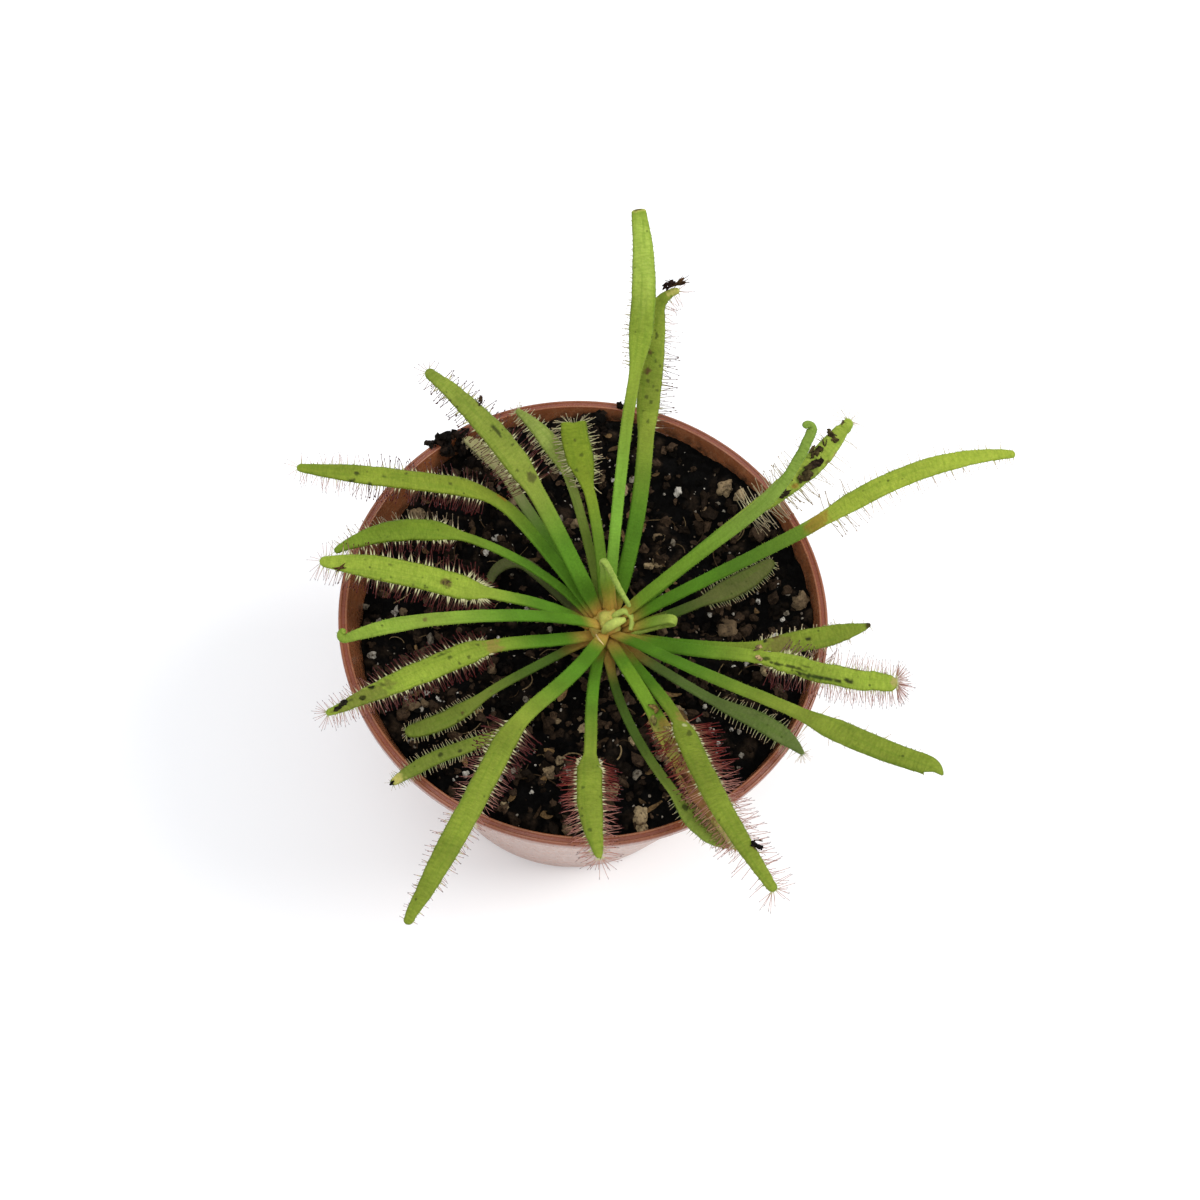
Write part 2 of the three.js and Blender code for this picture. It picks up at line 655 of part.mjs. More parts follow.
// True where a point has clear space round it: above the soil and its stones, off the pot, and
// away from every leaf but its own.
function isClear(point, radius, owner, leaves, placed, stones) {
  const room = radius + GAP;
  const fromAxis = Math.hypot(point.x, point.y);
  const wall = innerWallRadius(SOIL_LEVEL) - room;
  const soilTop = soilHeight(point.x, point.y) + room;
  if (fromAxis > wall && fromAxis < RIM_RADIUS + room && point.z < POT_HEIGHT + room) return false;
  if (fromAxis <= wall && point.z < soilTop) return false;
  if (stones.some((stone) => touchesStone(point, room, stone))) return false;
  if (leaves.some((other) => other.leaf !== owner && touchesLeaf(point, room, other))) return false;
  const reach = room + GLAND_RADIUS;
  return !placed.some((other) => other.owner !== owner && other.point.distanceTo(point) < reach);
}

function touchesStone(point, room, { x, y, radius }) {
  const centre = new THREE.Vector3(x, y, soilHeight(x, y) + radius * GRAVEL_LIFT);
  return point.distanceTo(centre) < STONE_STRETCH[1] * radius + room;
}

function touchesLeaf(point, room, { leaf, path }) {
  const total = leaf.lengths[0] + leaf.lengths[1];
  return path.some((centre, i) => {
    const offset = point.clone().sub(centre);
    if (offset.length() > NEAR_LEAF) return false;
    const distance = (i / (path.length - 1)) * total;
    const { along, across, up } = frameAt(leaf, distance);
    return (
      Math.abs(offset.dot(along)) < PATH_STEP + room &&
      Math.abs(offset.dot(across)) < widthAt(leaf, distance) / 2 + room &&
      Math.abs(offset.dot(up)) < thicknessAt(leaf, distance) / 2 + room
    );
  });
}

// All leaves with their tentacles. A tentacle that would touch another leaf, the soil or the pot
// is left off.
function leafMeshes(stones) {
  const leaves = LEAVES.map((leaf) => ({ leaf, path: pathOf(leaf) }));
  const placed = [];
  return leaves.map(({ leaf, path }, index) => {
    const random = seededRandom(TENTACLE_SEED + index);
    const stalks = [];
    for (const { root, direction, length } of tentaclePlaces(leaf, path, random)) {
      const points = CLEAR_SHARES.map((share) => {
        return root.clone().addScaledVector(direction, length * share);
      });
      if (points.every((point) => isClear(point, GLAND_RADIUS, leaf, leaves, placed, stones))) {
        stalks.push(tentacle(root, direction, length));
        placed.push(...points.map((point) => ({ owner: leaf, point })));
      }
    }
    const solid = wasm.Manifold.union([leafBody(leaf, path), ...stalks]);
    const material = leaf.name.endsWith("dying") ? MATERIALS.dyingLeaf : MATERIALS.leaf;
    return meshOf(leaf.name, solid, material);
  });
}

// A tiny leaf still coiled up at the heart of the crown.
function coiledBud([heading, size]) {
  const bud = {
    ring: { radius: BUD_RADIUS, height: HEART.height },
    heading,
    turns: [0, 0, 0],
    pitches: BUD_PITCHES,
    lengths: BUD_LENGTHS.map((length) => length * size),
    widths: BUD_WIDTHS.map((width) => width * size),
    taper: BUD_TAPER,
  };
  return leafBody(bud, pathOf(bud));
}

function crown() {
  const rings = [OLD, MATURE, FULL, YOUNG, HEART];
  const profile = [
    [0, ROOT_BOTTOM],
    [ROOT_RADIUS, ROOT_BOTTOM],
    [ROOT_RADIUS, SOIL_LEVEL + GAP],
    ...rings.map(({ radius, height }) => [radius - CROWN_INSET, height]),
    [0, HEART.height + CROWN_TIP_RISE],
  ];
  const stem = solidOf(turned(profile, CROWN_SEGMENTS).translate(CROWN.x, CROWN.y, 0));
  return meshOf("crown", wasm.Manifold.union([stem, ...BUDS.map(coiledBud)]), MATERIALS.crown);
}

const plant = new THREE.Group();
const stones = stonePlaces();
plant.add(pot(), soil(stones), crown(), ...leafMeshes(stones));

export default plant;
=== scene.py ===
"""A Cape sundew in a round plastic nursery pot: the visual model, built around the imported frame.

Shapes are worked out in millimetres and degrees and turned into metres when a mesh is made.
+Z is up, +Y is the back of the plant, and the origin is the centre of the pot's underside.
"""

import itertools
import math
from collections import namedtuple

import bmesh
import bpy
import numpy as np
from mathutils import Matrix, Vector


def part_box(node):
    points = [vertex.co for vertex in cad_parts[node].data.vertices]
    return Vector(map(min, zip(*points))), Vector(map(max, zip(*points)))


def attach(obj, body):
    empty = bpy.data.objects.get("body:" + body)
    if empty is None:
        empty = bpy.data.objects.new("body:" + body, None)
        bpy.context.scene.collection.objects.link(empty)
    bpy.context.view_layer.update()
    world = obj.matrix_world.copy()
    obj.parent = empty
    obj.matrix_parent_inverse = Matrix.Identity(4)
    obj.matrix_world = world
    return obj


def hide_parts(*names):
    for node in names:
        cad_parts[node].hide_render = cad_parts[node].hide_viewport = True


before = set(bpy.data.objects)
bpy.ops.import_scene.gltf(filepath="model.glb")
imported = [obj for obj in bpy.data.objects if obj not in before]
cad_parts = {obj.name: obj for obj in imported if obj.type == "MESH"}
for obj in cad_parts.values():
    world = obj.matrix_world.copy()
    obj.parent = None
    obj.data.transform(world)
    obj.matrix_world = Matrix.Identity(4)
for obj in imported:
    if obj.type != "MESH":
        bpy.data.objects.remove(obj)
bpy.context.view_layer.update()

MM = 0.001
POT_LOW, POT_HIGH = (np.array(corner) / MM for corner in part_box("pot"))
ORIGIN = np.array([*(POT_LOW + POT_HIGH)[:2] / 2, POT_LOW[2]])

# Pot
POT_HEIGHT = POT_HIGH[2] - POT_LOW[2]
RIM_RADIUS = (POT_HIGH[0] - POT_LOW[0]) / 2
WALL_TOP_RADIUS = RIM_RADIUS - 0.8
BASE_RADIUS = 31
WALL = 0.9
FLOOR = 1.2
LIP_DEPTH = 2.2
LIP_ROUND = 0.5
FOOT_ROUND = 0.8
FOOT_HEIGHT = 0.4
FOOT_WIDTH = 7
FLOOR_ROUND = 1
POT_SEGMENTS = 160
GROOVE_DEPTH = 0.22
GROOVE_WIDTH = 0.13
GROOVE_PLACES = (0.2, 0.47, 0.74)
INNER_ROUND = 0.3
STAIN_FADE = (0.3, 3.6)
# Painted shade on the rim's rounded outer edge fades in between these insets from the rim's radius
RIM_SHADE_INSETS = (1.0, 0.1)
DRAIN_HOLES = 6
DRAIN_RADIUS = 2.5
DRAIN_RING_RADIUS = 20
DRAIN_SEGMENTS = 32

# Soil
SOIL_GAP = 0.3
SOIL_LEVEL = 61.5
BANK_RISE = 5.5
BANK_START_RADIUS = 28
BANK_END_RADIUS = 43
BANK_HEADING = 40
BANK_EDGE_LOW = 0.15
BANK_EDGE_HIGH = 0.6
LUMP_HEIGHT = 0.45
LUMP_PITCH = 5.6
LUMP_SHIFT = 1.3
RIPPLE_SHARE = 0.6
RIPPLE_PITCH = 2.3
CROSS_RIPPLE_PITCH = 3.1
SOIL_RING_STEP = 0.34
SOIL_SEGMENTS = 600
SOIL_ROUGHNESS = [(3.2, 0.45)]
# Near black of the soil's hollows, painted shade, and the brown of its raised lumps
SOIL_HOLLOW_SHADE = (0.0015, 0.0012, 0.001)
SOIL_LUMP = (0.044, 0.028, 0.017)
SOIL_CRUMBLES = [(2.3, 1.0), (1.15, 0.6), (0.6, 0.32)]
CRUMBLE_LEVEL = 0.35
SOIL_SHADE_RISE = 1.5
SOIL_PATCH_WIDTH = 2.4
SOIL_PATCH_RISE = 0.6
SOIL_EDGE_GAP = 0.05
SOIL_SKIRT_RINGS = 8
CROWN_ROOM = 5
SPARE_PLACES = 3

# Rough lumps: how far apart in the noise their shapes are taken, the width of their bulges and of
# the finer ones on these, and the finer ones' share
NOISE_SPAN = 50
BULGE_WIDTH = 0.75
FINE_BULGE_WIDTH = 0.3
FINE_BULGE_SHARE = 0.5
TINT_SWAY = (0.85, 1.15)

# Kinds of grain on the soil: how many are scattered, how far out as a share of the soil's radius,
# their radii, stretch, how far they stand out, colours, how fine and how rough their shape is, and
# the seed of their shape. Radii may be bent by a power towards the small ones, then scaled.
Grains = namedtuple(
    "Grains", "count reach radii stretch raised tints level roughness seed power scale", defaults=[1, 1]
)
CRUMBS = Grains(
    1100, 0.985, (0.3, 1.0), (0.5, 1.1), 0.1, ((0.002, 0.0015, 0.001), (0.065, 0.040, 0.024)),
    2, 0.8, 22, 1.6, 1.5,
)
PERLITE_BITS = Grains(
    150, 0.97, (0.3, 0.75), (0.6, 1.1), 0.3, ((0.18, 0.15, 0.11), (0.70, 0.67, 0.60)), 2, 0.75, 32
)
PERLITE_DUST = Grains(
    520, 0.98, (0.1, 0.3), (0.6, 1.3), 0.6, ((0.10, 0.07, 0.045), (0.62, 0.58, 0.50)), 1, 0.5, 33
)
GRAVEL = Grains(
    46, 0.93, (0.5, 1.1), (0.7, 1.15), 0.25, ((0.13, 0.085, 0.045), (0.42, 0.31, 0.17)), 3, 0.6, 42
)
# Larger stones: x, y, radius
STONES = [
    (40, 8, 1.8),
    (27, 3, 1.7),
    (24, 31, 1.5),
    (27, 29.5, 1.2),
    (13, 15, 1.0),
    (11, 14, 0.9),
    (15, 1, 0.9),
    (9, -32, 1.2),
    (14.5, -36, 1.5),
    (15, -38.5, 1.2),
    (2.5, -40, 1.4),
    (-1, -27, 1.1),
    (-3, -30, 1.6),
    (17, -22, 1.2),
    (17, -24.5, 0.9),
    (-25, -17, 1.0),
    (-29, -20.5, 1.2),
    (-27, -20, 0.9),
    (-35, 18, 1.2),
]
# Larger pieces of perlite: x, y, radius
PERLITE = [
    (-35.5, -2.7, 1.2),
    (-41, -2, 0.8),
    (-28, -7, 0.8),
    (-38, -12, 0.9),
    (13, -28, 1.0),
    (-20, 24, 0.7),
    (30, -14, 0.8),
]
# Clods of soil: x, y, z, radius; some lie on the rim or against the wall
CLOD_LUMPS = 16
CLOD_SPREAD = (0.8, 0.8, 0.5)
CLOD_LUMP_SHARES = (0.25, 0.6)
CLOD_STRETCH = (0.5, 1.2)
CLOD_RIM_DEPTH = 1.2
CLOD_TINTS = ((0.003, 0.0025, 0.002), (0.02, 0.012, 0.008))
CLODS = [
    (-33.8, 30.0, 70.3, 1.2),
    (-32.4, 30.6, 70.4, 1.5),
    (-31.0, 31.4, 70.4, 1.6),
    (-29.5, 32.4, 70.4, 1.5),
    (-28.0, 33.0, 70.2, 1.4),
    (-31.0, 29.6, 69.6, 1.7),
    (-30.5, 29.5, 69.4, 1.8),
    (-28.0, 30.5, 68.8, 2.0),
    (-25.5, 29.0, 67.6, 2.2),
    (-24.0, 31.5, 67.2, 1.8),
    (-4.5, 42.0, 65.6, 2.4),
    (-5.0, 42.4, 68.0, 1.9),
    (-3.0, 41.5, 66.8, 2.2),
    (-2.6, 42.4, 68.6, 1.9),
    (-3.6, 40.0, 66.2, 2.4),
    (-0.6, 41.0, 66.6, 2.0),
    (-1.5, 39.0, 65.2, 2.4),
    (-2.0, 36.8, 64.6, 2.0),
    (0.6, 36.4, 64.0, 1.8),
    (1.7, 44.0, 70.2, 0.8),
    (1.3, 44.1, 70.9, 0.6),
    (-13, -11, 62.6, 1.6),
    (-18, 7, 62.8, 1.6),
    (21, -13, 63, 1.7),
    (27, -20, 63, 1.6),
]
FIBRES = 90
FIBRE_LENGTHS = (2, 7)
FIBRE_POINTS = 12
FIBRE_BEND = 2.5
FIBRE_RADIUS = 0.09
FIBRE_RISE = 0.2
FIBRE_REACH = 0.9
FIBRE_STOUTNESS = (0.6, 1.6)
FIBRE_TINTS = ((0.05, 0.03, 0.015), (0.28, 0.2, 0.1))
# Scraps of dead leaf and bark: how many, and their least and greatest length, width and height
FLAKES = 90
FLAKE_SIZES = ((0.7, 0.3, 0.08), (2.0, 0.8, 0.2))
FLAKE_RISE = 0.35
FLAKE_REACH = 0.95
FLAKE_CURL = 0.35
FLAKE_ROUGHNESS = 0.5
FLAKE_TINTS = ((0.03, 0.018, 0.01), (0.20, 0.12, 0.05))

# Crown
CROWN = np.array([4.5, -1.0])
ROOT_RADIUS = 2
ROOT_BOTTOM = 50
CROWN_CLEARING = 9
CROWN_SWELL = 0.1
CROWN_TIP_RISE = 1.5
CROWN_SEGMENTS = 64
CROWN_LUMPS = [(1.5, 0.35), (0.6, 0.16)]
CROWN_LUMP_RISE = 0.8
CROWN_RINGS = 24
CROWN_PATCH_WIDTH = 1.1
CORE_DARK = (0.52, 0.27, 0.065)
CORE_LIGHT = (0.40, 0.46, 0.10)
BUD_POINTS = 28
BUD_SIDES = 12
BUD_PATCH_WIDTH = 0.8
BUD_PATCH_SHARE = 0.2
# Coiled new leaves at the heart: path of x, y and z, widths along it, colour
BUDS = [
    (
        [(4.0, -3.3, 66.8), (4.7, -3.0, 68.7), (6.1, -2.2, 69.4), (7.5, -1.3, 69.0)],
        (1.2, 2.0, 1.9, 1.0),
        (0.42, 0.48, 0.11),
    ),
    (
        [(5.0, -0.8, 67), (5.8, -0.4, 68.6), (7.3, 0.3, 69.2), (8.8, -0.8, 68.9), (8.8, -2.8, 68)],
        (1.2, 1.3, 1.2, 1.1, 0.8),
        (0.36, 0.44, 0.09),
    ),
    (
        [(2.6, -5.5, 70.1), (3.2, -6.5, 70.5), (4.2, -7.4, 70.3)],
        (0.2, 0.36, 0.14),
        (0.52, 0.38, 0.18),
    ),
]

# Leaves: the petiole's foot, the sections along them, then the wrinkles, ragged edges and domed
# upper face of the blade, the channel along the petiole and the end of the blade
BASE_WIDTH = 2.3
BASE_THICKNESS = 0.8
BASE_LENGTH = 7
PETIOLE_THICKNESS = 1.2
BLADE_THICKNESS = 0.9
KNEE_REACH = 10
PATH_STEP = 0.1
TAPER_POWER = 1.7
PETIOLE_STEP = 0.7
BLADE_STEP = 0.15
END_LENGTH = 0.6
TOP_POINTS = 15
LOW_POINTS = 6
SECTION_POINTS = TOP_POINTS + LOW_POINTS - 2
WRINKLE_LENGTH = 0.36
WRINKLE_WIDTH = 1.2
WRINKLE_HEIGHT = 0.05
EDGE_WOBBLE = [(2.2, 0.07), (0.6, 0.05)]
FACE_WOBBLE = [(3.0, 0.10), (1.1, 0.04)]
FACE_ROUND = 0.6
DOME_SHARE = 0.10
DOME_LEVEL = 0.4
CHANNEL_DEPTH = 0.25
LOBE_REACH = 4
LEAST_CLOSING = 0.02**2

Ring = namedtuple("Ring", "radius height")
HEART = Ring(2.1, 67)
YOUNG = Ring(2.6, 66.1)
FULL = Ring(3, 65.1)
MATURE = Ring(3.4, 64)
OLD = Ring(4, 62.8)

# Linear colours, and where and how strongly the orange of a leaf's foot and its patches show
CREAM = (0.54, 0.54, 0.30)
STALK_RED = (0.09, 0.019, 0.016)
STALK_BRICK = (0.17, 0.02, 0.015)
STALK_PALE = (0.50, 0.45, 0.27)
# Paler pink of stalks over the open air: painted light shining through them
STALK_BACKLIT_PINK = (0.42, 0.19, 0.15)
GLAND_RED = (0.06, 0.006, 0.006)
GLAND_PALE = (0.42, 0.33, 0.19)
BASE_ORANGE = (0.50, 0.28, 0.065)
ORANGE_REACH = 7.5
ORANGE_SWAY = 3.5
ORANGE_HEADING = -60
ORANGE_SHARE = 0.88
PATCH_WIDTH = 3.5
PATCH_SHARE = 0.16
MARK_GRAIN_WIDTH = 0.5
MARK_EDGE = (0.6, 1.2)
BLACK = (0.006, 0.005, 0.004)
DARK = (0.035, 0.04, 0.008)
BROWN = (0.09, 0.045, 0.018)
OLIVE = (0.075, 0.055, 0.02)
RUST = (0.30, 0.10, 0.02)
TAN = (0.40, 0.28, 0.13)
STRAW = (0.50, 0.43, 0.13)

# How a leaf looks: linear colours of petiole and blade, then its tentacles. Their density and
# length are given at the knee and at the tip, their redness and number on the left and on the
# right side, then how stout they are, how many fan out round the tip and the knee, the colours of
# their roots and stalks, how long the roots are and how many of the rows below are there.
Look = namedtuple(
    "Look", "petiole blade density length red sides stout tip knee cream stalk root rows"
)
FRESH = Look(
    (0.078, 0.185, 0.013), (0.178, 0.226, 0.026), (1.25, 1.05), (1, 0.85), (1, 1), (1, 1), 1, 12, 6,
    CREAM, STALK_RED, 0.85, 7,
)
BRIGHT = FRESH._replace(blade=(0.235, 0.305, 0.036))
DULL = FRESH._replace(
    petiole=(0.065, 0.115, 0.016), blade=(0.10, 0.135, 0.026), density=(3, 3),
    length=(0.34, 0.32), red=(0.12, 0.12), stout=0.7, tip=10, knee=0, cream=(0.28, 0.32, 0.13), rows=2,
)
SHORT = FRESH._replace(
    density=(1.4, 1.4), length=(0.48, 0.42), red=(0, 0), stout=0.85, tip=14, knee=4,
    cream=(0.48, 0.50, 0.24), rows=4,
)
BARE = FRESH._replace(blade=(0.19, 0.27, 0.035), density=(0, 0), tip=0, knee=0)

# One entry a leaf: its ring, heading, turns over the petiole, at the knee and over the blade,
# pitches at base, knee and tip, lengths and widths of petiole and blade, and its taper. Then
# come its look, where it stands on the ring, its curled tip, the length of its fold, where it
# widens round the knee, how round its end is, how ragged its edges are and how far the middle
# of its tip stands back between two lobes.
Leaf = namedtuple(
    "Leaf",
    "ring heading turns pitches lengths widths taper look at curl fold joint end ragged lobes",
    defaults=[FRESH, None, None, None, (-1, 6), 1, 1, 0],
)
LEAVES = {
    "leaf_back_tall": Leaf(
        YOUNG, 95, (-5, -6, 22), (58, 36, 12), (41, 33.5), (2.1, 4.3), (0.5, 0.6),
        BRIGHT._replace(
            petiole=(0.165, 0.325, 0.036), blade=(0.20, 0.27, 0.03), density=(0.9, 1.1),
            length=(0.45, 0.14), sides=(1, 0), red=(0.2, 0), stout=0.7, tip=0, knee=0,
        ),
        joint=(3, 12), end=0.2,
    ),
    "leaf_back_hooked": Leaf(
        FULL, 75, (22, -4, -2), (54, 34, 8), (34.5, 28.5), (2.9, 4.2), (0.45, 0.3),
        FRESH._replace(density=(0.9, 1), stout=0.85, sides=(0, 1.1), red=(1, 0.9), tip=10, knee=0),
        curl=(6, -95, 20),
    ),
    "leaf_right_back_rolled": Leaf(
        HEART, 25, (8, 20, 26), (57, 36, 14), (38, 16.5), (2.6, 1.8), (0.5, 1),
        BARE._replace(petiole=(0.14, 0.25, 0.022), blade=(0.17, 0.25, 0.04)),
        curl=(2.4, 250, 25),
    ),
    "leaf_right_back": Leaf(
        MATURE, 39, (0, -5, 30), (40, 26, 5), (34, 23), (2.6, 4.2), (0.5, 0.4),
        BRIGHT._replace(
            blade=(0.26, 0.33, 0.045), density=(1.6, 0.15), length=(1.1, 1.0), red=(0.15, 0.3),
            stout=1.05, tip=16, knee=0,
        ),
        joint=(-5, 8), ragged=3,
    ),
    "leaf_right_long": Leaf(
        YOUNG, 8, (14, 12, -20), (55, 36, -11), (46, 34.5), (2.5, 3.5), (0.5, 0.4),
        BRIGHT._replace(
            blade=(0.28, 0.345, 0.04), density=(0.55, 0.5), length=(0.9, 0.45), red=(0.5, 0.5),
            tip=2, knee=0,
        ),
    ),
    "leaf_right_low": Leaf(
        OLD, 14, (20, -8, 25), (22, 8, -6), (15, 16.5), (2, 4.2), (0.5, 0.4),
        DULL._replace(blade=(0.10, 0.11, 0.03), red=(0.1, 0.1)),
    ),
    "leaf_new_right": Leaf(
        FULL, -7, (0, 0, 24), (55, 45, -140), (12, 12.5), (2.4, 1.4), (0.3, 0.5),
        BARE._replace(petiole=(0.13, 0.23, 0.022), blade=(0.31, 0.39, 0.07)),
        at=-10, fold=2.5, joint=(-4, 5),
    ),
    "leaf_new_upright": Leaf(
        HEART, -48, (0, 15, 0), (108, 108, -55), (14, 12.5), (3, 1.2), (0.3, 0.6),
        BARE._replace(petiole=(0.13, 0.23, 0.02), blade=(0.36, 0.46, 0.10)),
        at=75, fold=1.8, joint=(-6, -1),
    ),
    "leaf_right_bent": Leaf(
        MATURE, -24, (19, 10, 18), (40, 24, 5), (27, 21.5), (2.0, 4.0), (0.6, 0.15),
        FRESH._replace(density=(1, 0.15), length=(0.45, 0.3), red=(0, 0.3), tip=2, knee=0),
        joint=(0, 8),
    ),
    "leaf_right_broad": Leaf(
        FULL, -34, (28, -24, 34), (46, 28, 4), (34, 22.5), (2.6, 3.7), (0.7, 0.7),
        BRIGHT._replace(density=(1, 2.6), length=(1, 0.85), red=(0.85, 1), tip=90),
        at=-44, joint=(-1, 4), ragged=2,
    ),
    "leaf_right_front_long": Leaf(
        YOUNG, -56, (25, -7, 23), (56, 34, 10), (53, 25.3), (2.2, 3.8), (0.3, 0.8),
        FRESH._replace(density=(0.12, 0.03), length=(0.6, 0.2), red=(0.3, 0.3), tip=0, knee=0),
        curl=(1.9, -85, -25), joint=(2, 10), end=0.2, lobes=0.5,
    ),
    "leaf_right_front_low": Leaf(
        OLD, -41, (12, 17, -32), (30, 14, -4), (29, 13), (1.9, 3.5), (0.5, 0.2),
        DULL._replace(
            petiole=(0.10, 0.15, 0.035), blade=(0.12, 0.16, 0.042), length=(0.34, 0.5), tip=26
        ),
        joint=(-7, 4),
    ),
    "leaf_front_right": Leaf(
        MATURE, -57, (-4, -14, 24), (35, 37, 5), (29.5, 37), (2.2, 3.8), (0.4, 0.4),
        FRESH._replace(
            density=(2.5, 1.3), length=(1.25, 0.85), sides=(1, 0.3), stout=1.15, tip=14,
            stalk=STALK_BRICK, root=0.6,
        ),
        joint=(-1, 4),
    ),
    "leaf_front_right_dying": Leaf(
        FULL, -73, (21, -12, 19), (51, 10, -7), (22, 29), (2.5, 3.3), (0.5, 0.4),
        FRESH._replace(
            blade=(0.28, 0.25, 0.06), density=(0.7, 3), length=(0.35, 0.55), knee=0,
            cream=(0.38, 0.24, 0.10), stalk=STALK_BRICK,
        ),
        at=-77, ragged=3.5,
    ),
    "leaf_front_right_low": Leaf(
        OLD, -81, (37, -16, 47), (25, 10, -4), (39, 9.5), (1.7, 3.4), (0.5, 0.4),
        DULL._replace(blade=(0.20, 0.26, 0.04)), joint=(-5, 2),
    ),
    "leaf_front": Leaf(
        MATURE, -97, (15, -10, 24), (44, 26, 2), (36, 19), (2.1, 4.1), (0.45, 0.25),
        FRESH._replace(
            density=(2.2, 1.9), length=(0.95, 0.85), stout=1.15, tip=14, stalk=STALK_BRICK, root=0.7
        ),
        joint=(-1, 3), end=2,
    ),
    "leaf_front_left_long": Leaf(
        YOUNG, -101, (-28, 26, -7), (47, 24, 0), (36, 39.5), (2.8, 3.8), (0.6, 0.35),
        FRESH._replace(density=(1.5, 0.45), length=(1.0, 0.25), tip=0, knee=0),
    ),
    "leaf_front_left_low": Leaf(
        OLD, -115, (-12, -33, 26), (26, 14, -4), (30.5, 19.5), (1.7, 2.5), (0.7, 0.45),
        DULL._replace(blade=(0.16, 0.20, 0.03), tip=4),
    ),
    "leaf_left_front_low": Leaf(
        OLD, -135, (-5, 17, -41), (20, 8, -6), (25, 15), (1.8, 3.2), (0.7, 0.6),
        DULL._replace(blade=(0.15, 0.19, 0.028), length=(0.3, 0.28), tip=16),
        at=-144,
    ),
    "leaf_left_front": Leaf(
        MATURE, -142, (-18, 23, -8), (40, 24, 2), (24, 31.5), (2.6, 4.3), (0.4, 0.25),
        BRIGHT._replace(density=(1.5, 1.2), length=(0.8, 0.7)),
        joint=(-1, 4.5), ragged=1.6,
    ),
    "leaf_left_rolled": Leaf(
        HEART, -147, (-3, 0, 5), (56, 30, 8), (44.5, 16), (2.4, 2.7), (0.3, 0.35), BARE,
        curl=(2.2, -240, 35),
    ),
    "leaf_left": Leaf(
        MATURE, 177, (22, -21, 8), (43, 26, 3), (23, 30), (2.3, 4.9), (0.6, 0.35),
        BRIGHT._replace(density=(1.4, 1.05), tip=8, knee=16, root=1.3),
        at=-178, joint=(-1, 5),
    ),
    "leaf_left_arched": Leaf(
        MATURE, 152, (28, 0, 44), (36, 20, 0), (30, 23.5), (1.8, 4.4), (0.45, 0.25),
        FRESH._replace(
            blade=(0.145, 0.21, 0.02), length=(0.75, 0.55), red=(1, 0.5), stout=0.85, tip=4
        ),
        at=151,
    ),
    "leaf_left_low": Leaf(
        OLD, 152, (-10, 19, 110), (24, 10, -20), (15, 10), (2.6, 2.4), (0.5, 0.5),
        DULL._replace(petiole=(0.06, 0.07, 0.02), blade=(0.08, 0.085, 0.03), density=(0, 0), tip=0),
        at=157,
    ),
    "leaf_left_back_long": Leaf(
        FULL, 146, (0, 47, -10), (44, 22, 2), (30.5, 34.5), (2.5, 3.9), (0.6, 0.35),
        FRESH._replace(
            blade=(0.195, 0.245, 0.026), density=(1.35, 0.9), length=(0.9, 0.75), tip=5, knee=0
        ),
    ),
    "leaf_back_left_long": Leaf(
        YOUNG, 140, (-9, 8, 13), (54, 34, 10), (27.5, 28.5), (3.2, 4.8), (0.3, 0.4),
        FRESH._replace(
            blade=(0.19, 0.235, 0.034), density=(1.3, 0.75), length=(0.95, 0.6), tip=7, knee=0
        ),
    ),
    "leaf_back_left_low": Leaf(
        OLD, 134, (-2, -8, 34), (24, 8, -6), (31, 12), (2.2, 3.4), (0.5, 0.4),
        SHORT._replace(
            blade=(0.30, 0.27, 0.13), density=(1.5, 1.5), length=(0.2, 0.2), stout=0.5, knee=0,
            cream=(0.30, 0.26, 0.14),
        ),
        at=129,
    ),
    "leaf_back_left_short": Leaf(
        MATURE, 112, (5, 10, 22), (38, 22, 0), (27, 15.5), (1.8, 3.9), (0.25, 0.25),
        SHORT._replace(petiole=(0.15, 0.21, 0.03), blade=(0.245, 0.30, 0.065), length=(0.46, 0.42)),
    ),
    "leaf_back_short": Leaf(
        FULL, 102, (11, 6, -16), (46, 26, 2), (23.5, 13.5), (2.1, 5.2), (0.6, 0.9),
        SHORT._replace(
            petiole=(0.12, 0.22, 0.02), blade=(0.19, 0.25, 0.02), length=(0.5, 0.62), tip=30, root=1.1
        ),
        at=108, end=0.3, ragged=2, lobes=0.9,
    ),
}

# Marks on leaves: where along the blade from knee to tip, where across it, size, colour,
# strength, and how ragged the outline is
Mark = namedtuple("Mark", "share side length width tint strength grain", defaults=[0.9, 0.7])


def spots(*places):
    """Small dark spots at places given as (share, side)."""
    return [Mark(share, side, 0.8 - 0.3 * abs(side), 0.6, DARK, 0.7) for share, side in places]


